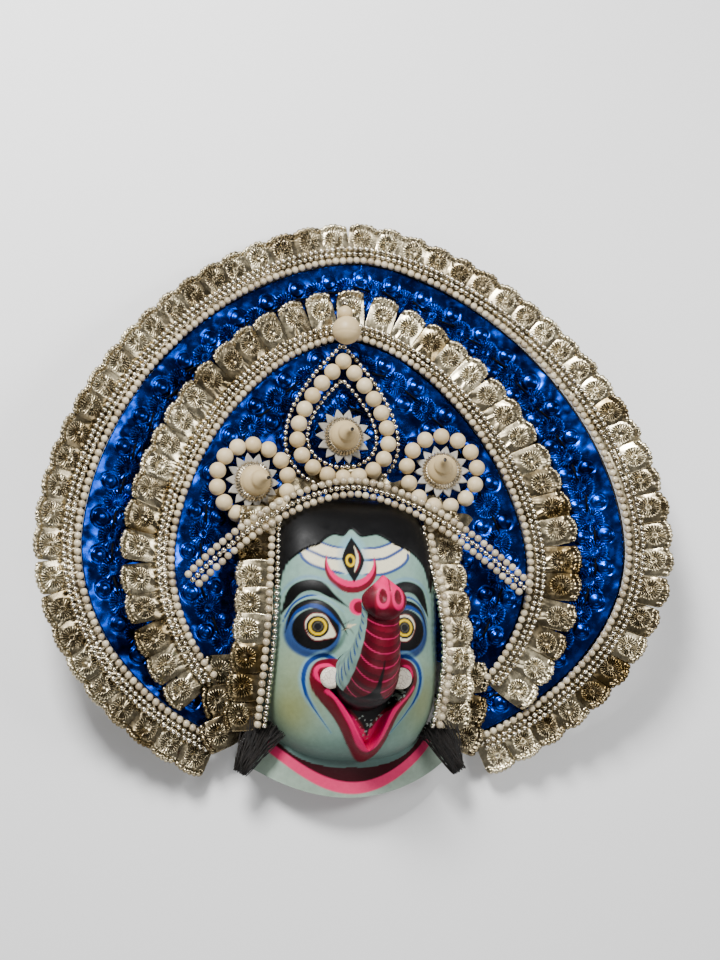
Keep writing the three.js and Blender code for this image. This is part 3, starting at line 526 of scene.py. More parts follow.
def snout_shape(u, v):
    turn, rise = 2 * np.pi * u, np.pi * (v - 0.5)
    px, py, pz = np.cos(rise) * np.sin(turn), np.cos(rise) * np.cos(turn), np.sin(rise)
    narrow = 1.04 - 0.72 * smooth((py + 0.15) / 1.15) ** 1.3
    waist = 1 - 0.06 * np.exp(-((py + 0.72) / 0.12) ** 2)
    top = np.maximum(pz, 0)
    side = px - 0.14
    hole = np.exp(-(((np.abs(side) - 0.36) / (0.15 - 0.12 * py)) ** 2 + ((py + 0.16) / 0.26) ** 2)) * top
    lobe = np.exp(-(((np.abs(side) - 0.36) / 0.3) ** 2 + ((py + 0.1) / 0.46) ** 2)) * top
    groove = np.exp(-((side / 0.05) ** 2)) * smooth((py + 0.1) / 0.3) * top
    x = 0.5 * snout_size[0] * px * narrow * waist
    y = 0.5 * snout_size[1] * py
    z = 0.5 * snout_size[2] * pz - 3.2 * hole + 1.6 * lobe - 0.8 * groove
    c, s = math.cos(snout_turn), math.sin(snout_turn)
    return head_x + x, snout_at[0] + c * y - s * z, snout_at[1] + s * y + c * z


snout = formed("snout", 96, 64, snout_shape)
grid = places(snout)
c, s = math.cos(snout_turn), math.sin(snout_turn)
p = (grid[:, 0] - head_x) / (0.5 * snout_size[0]) - 0.14
q = (c * (grid[:, 1] - snout_at[0]) + s * (grid[:, 2] - snout_at[1])) / (0.5 * snout_size[1])
front = -s * (grid[:, 1] - snout_at[0]) + c * (grid[:, 2] - snout_at[1])
c = np.tile(linear((132, 10, 40)), (len(grid), 1))
c = laid(c, pink, 0.9 * smooth((front - 3) / 3) * smooth((0.62 - np.abs(p) + 0.3 * q) / 0.2) * smooth((q + 0.3) / 0.4))
c = laid(c, dark_red, 0.8 * smooth((-0.5 - q) / 0.25) + 0.7 * smooth((np.abs(p) - 0.62) / 0.15))
for side in (-1, 1):
    drop = np.hypot((p - side * 0.35) / (0.2 - 0.09 * q), (q + 0.16) / 0.38)
    c = laid(c, pink, np.clip((1.45 - drop) * 6, 0, 1) * (front > 0))
    c = laid(c, (92, 6, 24), np.clip((0.92 - drop) * 8, 0, 1) * (front > 0))
c = laid(c, (110, 8, 34), np.clip((0.05 - np.abs(p)) * 30, 0, 1) * (q > 0.05) * (q < 0.75) * (front > 0))
painted(snout, c)
closed(snout, 1e-5)
wear(snout, paint_matter)
smoothed(snout, 60)

# The two cut tusks: short round stubs set in the corners of the mouth, their ends rounded off and their white paint
# cracked and worn through in places.
tusk_radius, tusk_long = 0.0098, 0.020
tusks = []
for side in (-1, 1):
    place = ((face_x + (36 if side > 0 else -30)) / 1000, -0.1765, 0.0865)
    bpy.ops.mesh.primitive_cylinder_add(vertices=40, radius=tusk_radius, depth=tusk_long, location=place)
    tusk = bpy.context.object
    tusk.name = "tusk_" + ("left" if side < 0 else "right")
    bpy.ops.object.transform_apply(location=True)
    modifier(tusk, "BEVEL", width=0.004, segments=5, limit_method="ANGLE", angle_limit=math.radians(40))
    tusks.append(tusk)
tusk_matter, tree, shader = matter("cracked white paint")
place = add(tree, "TexCoord").outputs["Object"]
cell = add(tree, "TexVoronoi", {"Vector": place, "Scale": 260.0}, feature="DISTANCE_TO_EDGE").outputs["Distance"]
crack = spread(tree, cell, 0.0, 1.0, 0.01, 0.05)
worn = spread(tree, noise(tree, 120, 5), 0.0, 1.0, 0.5, 0.62)
sound = add(tree, "Math", {0: crack, 1: worn}, operation="MAXIMUM").outputs[0]
tree.links.new(between(tree, sound, (128, 108, 84), (222, 214, 196)), shader.inputs["Base Color"])
shader.inputs["Roughness"].default_value = 0.5
bumped(tree, shader, crack, 0.3, 0.0004)
for tusk in tusks:
    wear(tusk, tusk_matter)
    smoothed(tusk, 60)
for piece in (trunk, snout, *tusks):
    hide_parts("face_mask")
    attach(piece, "root")

# The wire frame behind the halo: dark iron hoops and spokes, bound to the mask, bent forward at both sides.
halo_half, halo_y, halo_above, halo_below, halo_pointed, halo_lean = 268.0, -49.0, 296.0, 208.0, 1.77, 0.03
arch_x, arch_half, arch_y, arch_above, arch_below, arch_pointed = -3.0, 178.0, -62.0, 226.0, 169.0, 1.7
halo_end, arch_end = 28.5, 48.0
outer_width, inner_width = 40.0, 50.0
wire_thick, hoop_level, hoop_out = 3.0, 3.3, 22
foil_level, inner_level = 6.6, 13.8
wing_lift, wing_flat = 75.0, 40.0
hub = (-8.0, -125.0)
spoke_count, spoke_swing = 7, 125


def wing_rise(x):
    """How far the halo is bent forward at each place across."""
    return wing_lift * (np.maximum(0, np.abs(x) - wing_flat) / halo_half) ** 2


class Line:
    """A bead line walked at even lengths: share −1 to 1 from the left end over the crown to the right end."""

    def __init__(self, half, cy, above, below, pointed, end, shift):
        a = np.linspace(0, math.pi - math.radians(end), 1441)
        power = np.where(np.cos(a) > 0, 2 / pointed, 1)
        x = half * np.abs(np.sin(a)) ** power
        y = cy + np.where(np.cos(a) > 0, above, below) * np.sign(np.cos(a)) * np.abs(np.cos(a)) ** power
        run = np.concatenate(([0], np.cumsum(np.hypot(np.diff(x), np.diff(y)))))
        self.x, self.y, self.run, self.shift = x, y, run / run[-1], shift
        self.length = 2 * run[-1]

    def at(self, share, offset=0.0):
        share = np.asarray(share, float)
        s, side = np.abs(share), np.where(share < 0, -1, 1)
        x, y = np.interp(s, self.run, self.x), np.interp(s, self.run, self.y)
        low, high = np.maximum(0, s - 0.012), np.minimum(1, s + 0.012)
        dx = np.interp(high, self.run, self.x) - np.interp(low, self.run, self.x)
        dy = np.interp(high, self.run, self.y) - np.interp(low, self.run, self.y)
        dy = np.where(s < 0.012, dy * s / 0.012, dy)
        size = np.hypot(dx, dy)
        height = y + offset * dx / size
        return side * (x - offset * dy / size) + self.shift(height), height

    def ways(self, share):
        """The outward direction at each share, across the line."""
        x0, y0 = self.at(share, 0.0)
        x1, y1 = self.at(share, 1.0)
        size = np.hypot(x1 - x0, y1 - y0)
        return (x1 - x0) / size, (y1 - y0) / size


outer_line = Line(halo_half, halo_y, halo_above, halo_below, halo_pointed, halo_end, lambda y: halo_lean * (y - halo_y))
inner_line = Line(arch_half, arch_y, arch_above, arch_below, arch_pointed, arch_end, lambda y: arch_x + 0 * y)


def bar(name, path, radius, sides=10):
    """A round bar along a path of places in millimetres."""
    path = np.array(path, float)
    way = np.gradient(path, axis=0)
    way /= np.linalg.norm(way, axis=1)[:, None]
    side = np.cross(way, (0.0, 0.0, 1.0))
    side /= np.maximum(np.linalg.norm(side, axis=1), 1e-9)[:, None]
    up = np.cross(side, way)

    def shape(u, v):
        k = v * (len(path) - 1)
        pick = lambda table: np.column_stack([np.interp(k, np.arange(len(table)), table[:, j]) for j in range(3)])
        a = (2 * np.pi * u)[:, None]
        spot = pick(path) + radius * (np.cos(a) * pick(side) + np.sin(a) * pick(up))
        return spot[:, 0], spot[:, 1], spot[:, 2]

    return closed(formed(name, sides, len(path) - 1, shape), 2e-5)


iron, tree, shader = matter("dark iron wire")
shader.inputs["Base Color"].default_value = (*linear((34, 30, 27)), 1)
shader.inputs["Metallic"].default_value = 0.7
tree.links.new(spread(tree, noise(tree, 160), 0.4, 0.7), shader.inputs["Roughness"])
bumped(tree, shader, noise(tree, 900), 0.3, 0.0004)
hoops = (("outer_hoop", outer_line, hoop_out), ("middle_hoop", outer_line, -2), ("inner_hoop", inner_line, 0))
for name, line, offset in hoops:
    x, y = line.at(np.linspace(-1, 1, 181), offset)
    hoop = bar(name + "_wire", np.column_stack((x, y, wing_rise(x) + hoop_level + wire_thick / 2)), wire_thick / 2)
    wear(hoop, iron)
    smoothed(hoop)
    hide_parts(name)
    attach(hoop, "root")
for k in range(spoke_count):
    angle = math.radians(-spoke_swing + 2 * spoke_swing * k / (spoke_count - 1))
    far = np.arange(1, 420, 0.5)
    x, y = hub[0] + far * math.sin(angle), hub[1] + far * math.cos(angle)
    start = far[np.argmax(head_share(x - head_x, y) > 1)] + wire_thick / 2 + 0.6
    up = y > halo_y
    power = np.where(up, halo_pointed, 2)
    out = np.abs((x - halo_lean * (y - halo_y)) / halo_half) ** power
    out = out + np.abs((y - halo_y) / np.where(up, halo_above, halo_below)) ** power
    end = far[np.argmax(out > 1)] + hoop_out + wire_thick
    run = np.linspace(start, end, 24)
    x, y = hub[0] + run * math.sin(angle), hub[1] + run * math.cos(angle)
    spoke = bar(f"spoke_wire_{k + 1}", np.column_stack((x, y, wing_rise(x) + wire_thick / 2)), wire_thick / 2)
    wear(spoke, iron)
    smoothed(spoke)
    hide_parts(f"spoke_{k + 1}")
    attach(spoke, "root")

# The gold foil: thin champagne-coloured sheet pressed over a die into rosettes, each a fluted sunburst with a pin hole
# and a scalloped edge of small domes, cut out, crumpled a little in the hand and stitched down one over the next.
foil_thick = 0.0004


def press(piece, px, py, near):
    """Keeps where each place lies in its own pressing, for the fine flutes that the sheet carries and the shade painted
    along them.
    """
    layer = piece.data.attributes.new("press", "FLOAT_VECTOR", "POINT")
    layer.data.foreach_set("vector", np.column_stack((px, py, near)).astype(np.float32).ravel())


def rosette(name, width, deep, seed, columns=36, rows=37):
    """One pressed rosette, flat on the table: its inner edge on y = 0, its scalloped edge outwards, in millimetres."""
    draw = np.random.default_rng(seed)
    ranges = ((-0.7, 0.7), (-9, 9), (0.5, 1.5), (1.5, 4))
    folds = [tuple(draw.uniform(*ends) for ends in ranges) for _ in range(3)]
    heart = (draw.uniform(-1.2, 1.2), 0.6 * deep + draw.uniform(-1.5, 1.5))
    dimple = draw.random() < 0.45
    sag, tilt = draw.uniform(0.6, 1.6), draw.uniform(-1.6, 1.6)

    def edge_of(u):
        rounded = 0.82 + 0.18 * np.sqrt(np.clip(1 - (1.85 * (u - 0.5)) ** 2, 0, 1))
        return deep * rounded - 1.3 * (1 - np.abs(np.sin(6 * np.pi * u)))

    def shape(u, v):
        x = (u - 0.5) * width * (0.86 + 0.14 * smooth(2 * v))
        y = v * edge_of(u)
        px, py = x - heart[0], y - heart[1]
        r = np.hypot(px, py)
        free = smooth((y - 9) / 6)
        z = 2.4 * np.cos(np.pi * (u - 0.5)) * smooth(1.3 * v) + tilt * (u - 0.5) - sag * np.exp(-((r / 8) ** 2)) * free
        if dimple:
            z -= 2.0 * np.sqrt(np.clip(1 - (r / 4) ** 2, 0, 1))
        for way, spot, high, thick in folds:
            across = px * math.cos(way) + py * math.sin(way) - spot
            z += free * high * np.exp(-((across / thick) ** 2)) * smooth((np.abs(py) + 4) / 14)
        for k in range(6):
            t = (k + 0.5) / 6
            big = 3.1 + 0.4 * math.sin(5 * k + seed)
            d = np.hypot(x - (t - 0.5) * width * 0.97, y - edge_of(t) + 3.0) / big
            z = np.where(d < 1.3, z - 0.5 * np.exp(-(((d - 1.1) / 0.15) ** 2)), z)
            z = z + 0.95 * big * np.sqrt(np.clip(1 - d**2, 0, 1))
        return x, y, z

    piece = formed(name, columns, rows, shape)
    flat = places(piece)
    px, py = flat[:, 0] - heart[0], flat[:, 1] - heart[1]
    r = np.hypot(px, py)
    start = 4.0 if dimple else 2.4
    fluted = smooth((r - start) / 1.2) * smooth((10.5 - r) / 2.5)
    press(piece, px, py, fluted - 1.5 * smooth((1.7 - r) / 0.8) * (not dimple))
    return piece


def tinted(piece, tones):
    """Keeps how light or dark each place is."""
    piece.data.attributes.new("tint", "FLOAT", "POINT").data.foreach_set("value", tones.astype(np.float32))


def tint_of(tree):
    return add(tree, "Attribute", attribute_name="tint").outputs["Fac"]


def laid_out(name, pieces, spots, thick=None):
    """Copies of the pieces set at spots = (which, 4 by 4 matrix in millimetres), as one mesh with a tint each."""
    source = []
    for p in pieces:
        pressed = np.zeros(len(p.data.vertices) * 3)
        if "press" in p.data.attributes:
            p.data.attributes["press"].data.foreach_get("vector", pressed)
        source.append((places(p), [tuple(f.vertices) for f in p.data.polygons], pressed.reshape(-1, 3)))
    points, faces, tints, presses, start = [], [], [], [], 0
    draw = np.random.default_rng(len(spots) + len(name))
    for which, matrix in spots:
        local, polygons, pressed = source[which]
        points.append(local @ matrix[:3, :3].T + matrix[:3, 3])
        faces += [tuple(v + start for v in f) for f in polygons]
        tints.append(np.full(len(local), draw.random()))
        presses.append(pressed)
        start += len(local)
    mesh = bpy.data.meshes.new(name)
    mesh.from_pydata(np.concatenate(points) * 0.001, [], faces)
    whole = bpy.data.objects.new(name, mesh)
    bpy.context.collection.objects.link(whole)
    tinted(whole, np.concatenate(tints))
    for p in pieces:
        bpy.data.objects.remove(p)
    if thick:
        press(whole, *np.concatenate(presses).T)
        modifier(whole, "SOLIDIFY", thickness=thick, offset=-1)
    mesh.polygons.foreach_set("use_smooth", [True] * len(mesh.polygons))
    return whole


def seated(line, share, offset, level, lean=0.0, tip=0.0):
    """A 4 by 4 matrix that stands y outwards across the line; lean turns it in its plane, tip lifts its outer edge."""
    (x, y), (ox, oy) = line.at(share, offset), line.ways(share)
    turn = Matrix.Rotation(math.atan2(-ox, oy) + lean, 3, "Z") @ Matrix.Rotation(tip, 3, "X")
    slope = (wing_rise(x + 1) - wing_rise(x - 1)) / 2
    basis = Matrix(((1, 0, 0), (0, 1, 0), (slope, 0, 1))) @ turn
    m = np.eye(4)
    m[:3, :3] = np.array(basis)
    m[:3, 3] = (x, y, wing_rise(x) + level)
    return m


def worked(tree, kind, a, b):
    return add(tree, "Math", {0: a, 1: b}, operation=kind).outputs[0]


def foil_matter(name, low, high, rough, flutes, press_depth):
    """Pressed metal foil: each pressing a little lighter or darker, softly crumpled, its sunburst finely fluted with
    shade painted into the flutes' grooves.
    """
    m, tree, shader = matter(name)
    shade = worked(tree, "ADD", worked(tree, "MULTIPLY", tint_of(tree), 0.55), noise(tree, 26, 3))
    colour = between(tree, spread(tree, shade, 0.0, 1.0, 0.42, 1.05), low, high)
    shader.inputs["Metallic"].default_value = 1.0
    tree.links.new(spread(tree, noise(tree, 130), rough * 0.7, rough * 1.5), shader.inputs["Roughness"])
    pressed = add(tree, "SeparateXYZ", {"Vector": add(tree, "Attribute", attribute_name="press").outputs["Vector"]})
    turn = worked(tree, "ARCTAN2", pressed.outputs["Y"], pressed.outputs["X"])
    wave = add(tree, "Math", {0: worked(tree, "MULTIPLY", turn, float(flutes))}, operation="COSINE").outputs[0]
    wave = worked(tree, "MULTIPLY", wave, pressed.outputs["Z"])
    # Painted shade: the colour is darkened in the grooves between the flutes and kept full on their ridges.
    flute_shade = spread(tree, wave, 0.12, 1.0, -0.9, 0.5)
    tree.links.new(scaled(tree, colour, flute_shade), shader.inputs["Base Color"])
    coarse = worked(tree, "MULTIPLY", noise(tree, 60, 1), 0.5)
    fine = worked(tree, "MULTIPLY", noise(tree, 300, 2), 0.05)
    relief = worked(tree, "ADD", worked(tree, "MULTIPLY", wave, press_depth), worked(tree, "ADD", coarse, fine))
    bumped(tree, shader, relief, 0.75, 0.0016)
    return m


gold = foil_matter("champagne foil", (112, 92, 56), (236, 222, 186), 0.24, 22, 0.5)
for name, line, width, level, count, parts in (("outer_gold", outer_line, outer_width, foil_level, 55, 3),
                                               ("inner_gold", inner_line, inner_width, inner_level, 37, 2)):
    pitch = line.length / count
    draw = np.random.default_rng(count)
    spots = []
    for k in range(count):
        share = -1 + (2 * k + 1) / count
        which, lean, tip = int(draw.integers(5)), draw.uniform(-0.05, 0.05), draw.uniform(-0.01, 0.05)
        spots.append((which, seated(line, share, 0.4, level + 0.9 + 0.4 * (k % 2), lean, tip)))
    for part in range(parts):
        kinds = [rosette(f"{name}_{k}", pitch * 1.2, width - 0.5, 20 + k + count) for k in range(5)]
        first, last = part * count // parts, (part + 1) * count // parts
        band = laid_out(f"{name}_rosettes_{part + 1}", kinds, spots[first:last], foil_thick)
        wear(band, gold)
        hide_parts(name + "_band")
        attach(band, "root")

# The blue foil: vivid metallic blue sheet pressed the same way, larger sunbursts with a pair of round bosses in each
# space between them, pinned to the frame by short stitches of black thread that lie between the bosses.
outer_count, sunburst = 36, 22.0
field_rows = ((-28.0, 20, 1.0), (-74.0, 15, 0.94), (-120.0, 9, 0.94))


def pressed_blue(x, y, hearts, bosses, reach):
    """The relief of the blue foil, and where each place lies from its nearest sunburst."""
    best = np.full(x.shape, 1e9)
    px, py = np.zeros(x.shape), np.zeros(x.shape)
    for hx, hy in hearts:
        r = np.hypot(x - hx, y - hy)
        near = r < best
        best = np.where(near, r, best)
        px, py = np.where(near, x - hx, px), np.where(near, y - hy, py)
    z = 1.3 * smooth((reach - best) / (0.55 * reach)) - 1.2 * smooth((7 - best) / 7)
    z += 2.6 * (speckle(x, y, 13, 21) - 0.5) + 0.5 * (speckle(x, y, 6, 22) - 0.5)
    for bx, by, big in bosses:
        d = np.hypot(x - bx, y - by) / big
        z = np.where(d < 1.35, z * smooth((d - 0.9) / 0.45) - 0.9 * np.exp(-(((d - 1.12) / 0.12) ** 2)), z)
        z = z + 0.5 * big * np.sqrt(np.clip(1 - d**2, 0, 1)) - 0.5 * np.exp(-(((d - 0.55) / 0.14) ** 2))
    near = smooth((best - 3.4) / 1.6) * smooth((0.6 * reach - best) / 3) - 1.5 * smooth((1.8 - best) / 0.8)
    return z, px, py, near


def spots_along(line, offset, number, reach=1.0, past=0.0):
    share = (-1 + (2 * np.arange(number) + 1) / number + past) * reach
    x, y = line.at(share, offset)
    return [(float(a), float(b)) for a, b in zip(x, y)]


def bosses_along(line, offset, number, apart, reach=1.0):
    """A pair of bosses in each space between neighbouring sunbursts."""
    draw = np.random.default_rng(number)
    out = []
    for side in (-1, 1):
        for x, y in spots_along(line, offset + side * apart, number, reach, 1 / number)[:-1]:
            out.append((x + draw.uniform(-1, 1), y + draw.uniform(-1, 1), draw.uniform(6.6, 8.4)))
    return out


def blue_sheet(name, columns, rows, place, hearts, bosses, reach, level, node):
    """A sheet laid to place(u, v) in x and y, pressed, thickened and set on its node."""
    def shape(u, v):
        x, y = place(u, v)
        return x, y, wing_rise(x) + level + pressed_blue(x, y, hearts, bosses, reach)[0]

    sheet = formed(name, columns, rows, shape)
    flat = places(sheet)
    _, px, py, near = pressed_blue(flat[:, 0], flat[:, 1], hearts, bosses, reach)
    press(sheet, px, py, near)
    tone = 0.15 + 0.9 * speckle(flat[:, 0], flat[:, 1], 34, 23) * speckle(flat[:, 0], flat[:, 1], 17, 24)
    tinted(sheet, tone)
    modifier(sheet, "SOLIDIFY", thickness=foil_thick, offset=-1)
    sheet.data.polygons.foreach_set("use_smooth", [True] * len(sheet.data.polygons))
    wear(sheet, blue)
    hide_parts(node)
    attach(sheet, "root")


blue = foil_matter("blue foil", (1, 8, 54), (8, 78, 216), 0.22, 24, 0.55)
hearts = spots_along(outer_line, -31.0, outer_count)
bosses = bosses_along(outer_line, -31.0, outer_count, 11.0)
for part in range(2):
    def outer_blue(u, v):
        return outer_line.at(u - 1 + part, -3.9 - 58 * (1 - v))

    blue_sheet(f"outer_blue_foil_{part + 1}", 720, 52, outer_blue, hearts, bosses, sunburst, foil_level + 3.0,
               "blue_outer_band")
field_hearts = [h for offset, number, reach in field_rows for h in spots_along(inner_line, offset, number, reach)]
field_bosses = [b for offset, number, reach in field_rows
                for b in bosses_along(inner_line, offset, number, 11.5, reach)]


def to_head(x1, y1):
    """The place where a line from each outer place towards the hub meets the head."""
    dx, dy = x1 - hub[0], y1 - hub[1]
    size = np.hypot(dx, dy)
    far = np.zeros(x1.shape)
    step = 128.0
    while step > 0.1:
        x, y = hub[0] + dx / size * (far + step), hub[1] + dy / size * (far + step)
        far = np.where(head_share(x - head_x, y) < 1, far + step, far)
        step /= 2
    return hub[0] + dx / size * (far + 1.4), hub[1] + dy / size * (far + 1.4)


for part in range(2):
    def inner_blue(u, v):
        x1, y1 = inner_line.at(u - 1 + part, -3.9)
        x0, y0 = to_head(x1, y1)
        return x0 + (x1 - x0) * v, y0 + (y1 - y0) * v

    blue_sheet(f"inner_blue_foil_{part + 1}", 340, 122, inner_blue, field_hearts, field_bosses, sunburst,
               inner_level + 2.2, "blue_inner_field")

stitch_radius, stitch_long = 0.0011, 0.017
bpy.ops.mesh.primitive_cylinder_add(vertices=8, radius=stitch_radius, depth=stitch_long, rotation=(math.pi / 2, 0, 0))
stitch = bpy.context.object
bpy.ops.object.transform_apply(rotation=True)
draw = np.random.default_rng(7)
spots = []
for line, offset, number, level in ((outer_line, -31.0, outer_count, foil_level + 6.6),
                                    (inner_line, -28.0, 20, inner_level + 5.8),
                                    (inner_line, -74.0, 15, inner_level + 5.8)):
    for k in range(1, number):
        aside, lean = draw.uniform(-1.5, 1.5), draw.uniform(-0.3, 0.3)
        spots.append((0, seated(line, -1 + 2 * k / number, offset + aside, level, math.pi / 2 + lean)))
spots = [s for s in spots if head_share(s[1][0, 3] - head_x, s[1][1, 3]) > 1.12]
thread = laid_out("black_stitches", [stitch], spots)
thread_matter, tree, shader = matter("black thread")
shader.inputs["Base Color"].default_value = (*linear((3, 3, 4)), 1)
shader.inputs["Specular IOR Level"].default_value = 0.08
tree.links.new(spread(tree, noise(tree, 700), 0.6, 0.9), shader.inputs["Roughness"])
wear(thread, thread_matter)
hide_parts("blue_outer_band")
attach(thread, "root")

# The strung beads: imitation pearls and metal-coated plastic beads on thread, a row of pearls with a close double row
# of silver beads beside it along both halo lines, and a row of silver beads between two of pearls over the brow.
pearl_size, pearl_gap, silver_size, silver_gap = 7.2, 7.3, 5.6, 5.9


def bead(name, size, divisions=2):
    bpy.ops.mesh.primitive_ico_sphere_add(subdivisions=divisions, radius=size / 2000)
    piece = bpy.context.object
    piece.name = name
    return piece


def at(x, y, z, turn=None):
    m = np.eye(4)
    if turn is not None:
        m[:3, :3] = np.array(turn)
    m[:3, 3] = (x, y, z)
    return m


def spaced(path, gap, skip=0.0):
    """Places along a path at an even gap, kept to a whole number of beads."""
    path = np.array(path, float)
    run = np.concatenate(([0], np.cumsum(np.linalg.norm(np.diff(path, axis=0), axis=1))))
    count = max(2, int(run[-1] / gap))
    want = (np.arange(count) + 0.5 + skip) / count * run[-1]
    want = want[want < run[-1]]
    return np.column_stack([np.interp(want, run, path[:, j]) for j in range(3)])


def strung(name, path, size, gap, node, slot, material, seed, skip=0.0, stray=0.25):
    draw = np.random.default_rng(seed)
    spots = []
    for x, y, z in spaced(path, gap, skip):
        turn = Matrix.Rotation(draw.uniform(0, 6.3), 3, "Z") * draw.uniform(0.96, 1.02)
        dx, dy, dz = draw.uniform(-stray, stray), draw.uniform(-stray, stray), draw.uniform(0, stray)
        spots.append((0, at(x + dx, y + dy, z + dz, turn)))
    row = laid_out(name, [bead(name, size)], spots)
    wear(row, material)
    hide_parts(node)
    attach(row, "root")
    return row


pearl_matter, tree, shader = matter("imitation pearl")
tree.links.new(between(tree, tint_of(tree), (148, 132, 106), (198, 184, 154)), shader.inputs["Base Color"])
tree.links.new(spread(tree, noise(tree, 300), 0.22, 0.34), shader.inputs["Roughness"])
shader.inputs["Specular IOR Level"].default_value = 0.8
shader.inputs["Coat Weight"].default_value = 0.5
shader.inputs["Coat Roughness"].default_value = 0.12
silver_matter, tree, shader = matter("metal-coated bead")
tree.links.new(between(tree, tint_of(tree), (176, 168, 150), (232, 224, 208)), shader.inputs["Base Color"])
shader.inputs["Metallic"].default_value = 1.0
tree.links.new(spread(tree, noise(tree, 500), 0.12, 0.22), shader.inputs["Roughness"])

for name, line, level, silver_level in (("outer", outer_line, foil_level + 1.86, foil_level + 3.01),
                                        ("inner", inner_line, inner_level + 1.79, inner_level + 2.71)):
    def row_path(offset, over):
        share = np.linspace(-1, 1, 721)
        x, y = line.at(share, offset)
        return np.column_stack((x, y, wing_rise(x) + over))

    strung(name + "_pearls", row_path(0, level + pearl_size / 2), pearl_size, pearl_gap,
           name + "_pearl_row", "pearl", pearl_matter, 31)
    for k, offset in enumerate((6.7, 12.1)):
        over = silver_level + silver_size / 2 + 0.3 * k
        strung(f"{name}_silver_{k}", row_path(offset, over), silver_size, silver_gap,
               name + "_silver_row", "silver_bead", silver_matter, 41 + k, 0.5 * k)


def brow_place(t, out):
    """A place over the brow, t from -1 to 1 across it, and so far out from the lowest row."""
    slope = np.minimum(1, np.abs(t) * 1.2)
    x = 158.8 * t + head_x * (1 - t**2) + out * slope * 0.75 * np.sign(t)
    y = -86 + 92 * (1 - np.abs(t) ** 1.7) + out * np.sqrt(1 - (0.75 * slope) ** 2) - 7.2
    return x, y


brow_level, brow_pitch = 51.0, 6.7
share = np.linspace(-1, 1, 201)
for name, row, size, gap, slot_name, material in (
        ("brow_outer_pearls", 2, pearl_size, 0.15, "pearl", pearl_matter),
        ("brow_silver", 1, silver_size, 0.05, "silver_bead", silver_matter),
        ("brow_inner_pearls", 0, pearl_size, 0.15, "pearl", pearl_matter)):
    path = np.column_stack((*brow_place(share, row * brow_pitch), np.full(201, brow_level + 3.6)))
    strung(name + "_beads", path, size, size + gap, name, slot_name, material, 50 + row)

# The backing scrap: a crumpled strip of the same gold foil, pushed in over the blue sheet where it would show between
# the brow rows and the rings above them.


def backing(u, v):
    t = 1.3 * (u - 0.5)
    x, y = brow_place(t, 15 + 21 * v * (0.8 + 0.2 * np.cos(40 * t)))
    return x, y, wing_rise(x) + 20.6 + 1.6 * speckle(x, y, 9, 25)


scrap = formed("brow_backing_foil", 240, 24, backing)
tinted(scrap, np.full(len(scrap.data.vertices), 0.35))
modifier(scrap, "SOLIDIFY", thickness=foil_thick, offset=-1)
smoothed(scrap, 70)
wear(scrap, gold)
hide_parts("inner_gold_band")
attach(scrap, "root")

# The side strips: beside each cheek a column of gold rosettes stitched down one over the next, with a row of silver
# beads and a row of pearls threaded along its inner edge.
strip_top, strip_foot = -40.0, -222.0
strips = {"left": (-1, 70.0, 82.0, 0.0), "right": (1, 68.0, 74.0, 9.5)}


def strip_place(side, t, offset):
    sign, top, foot, bow = strips[side]
    t = np.asarray(t, float)
    past = np.maximum(t, 0)
    x = top + (foot - top) * t + bow * np.sin(np.pi * past**1.25) + offset
    swell = 20 * np.sin(np.pi * past) * max(0.0, 1 - offset / 42)
    return head_x + sign * x, strip_top + (strip_foot - strip_top) * t, 38 + swell


for side in ("left", "right"):
    t = np.linspace(-0.07, 1, 121)
    for kind, offset, size, slot_name, material in (("silver", 2.8, silver_size, "silver_bead", silver_matter),
                                                    ("pearls", 9.5, pearl_size, "pearl", pearl_matter)):
        x, y, z = strip_place(side, t, offset)
        path = np.column_stack((x, y, z + 5.5 + size / 2))
        strung(f"side_{kind}_{side}_beads", path, size, size + 0.2,
               f"side_{kind}_{side}", slot_name, material, 60 + len(side))
    kinds = [rosette(f"side_{side}_{k}", 29.5, 37, 80 + k + len(side)) for k in range(3)]
    draw = np.random.default_rng(9 + len(side))
    spots = []
    sign = strips[side][0]
    for k in range(-1, 7):
        x, y, z = (float(c) for c in strip_place(side, (k + 0.5) / 7, 5.0))
        drop = -math.atan2(20 * math.sin(math.pi * max(0, k + 0.5) / 7), 42)
        lean, tip = draw.uniform(-0.06, 0.06), draw.uniform(0, 0.03)
        turn = Matrix.Rotation(-sign * math.pi / 2 + lean, 3, "Z") @ Matrix.Rotation(drop + tip, 3, "X")
        spots.append((int(draw.integers(3)), at(x, y, z + 0.4 + 0.4 * (k % 2), turn)))
    foil = laid_out(f"side_foil_{side}_rosettes", kinds, spots, foil_thick)
    wear(foil, gold)
    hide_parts(f"side_foil_{side}")
    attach(foil, "root")

# The lower rosettes: a few more gold pressings, tucked in behind the foot of each side strip where the inner band
# comes down to it.
kinds = [rosette(f"lower_{k}", 30, 40, 120 + k) for k in range(4)]
draw = np.random.default_rng(77)
spots = []
for side, reaches in (("left", (0.70, 0.84, 0.98)), ("right", (0.74, 0.87, 1.0))):
    sign = strips[side][0]
    for k, t in enumerate(reaches):
        x, y, _ = (float(c) for c in strip_place(side, t, 22.0))
        lean, tip = draw.uniform(-0.1, 0.1), draw.uniform(0.02, 0.08)
        turn = Matrix.Rotation(-sign * (math.pi / 2 + 0.22 * k) + lean, 3, "Z") @ Matrix.Rotation(tip, 3, "X")
        spots.append((k, at(x, y, float(wing_rise(x)) + inner_level + 6.0 + 0.8 * k, turn)))
lower = laid_out("lower_gold_rosettes", kinds, spots, foil_thick)
wear(lower, gold)
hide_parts("inner_gold_band")
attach(lower, "root")

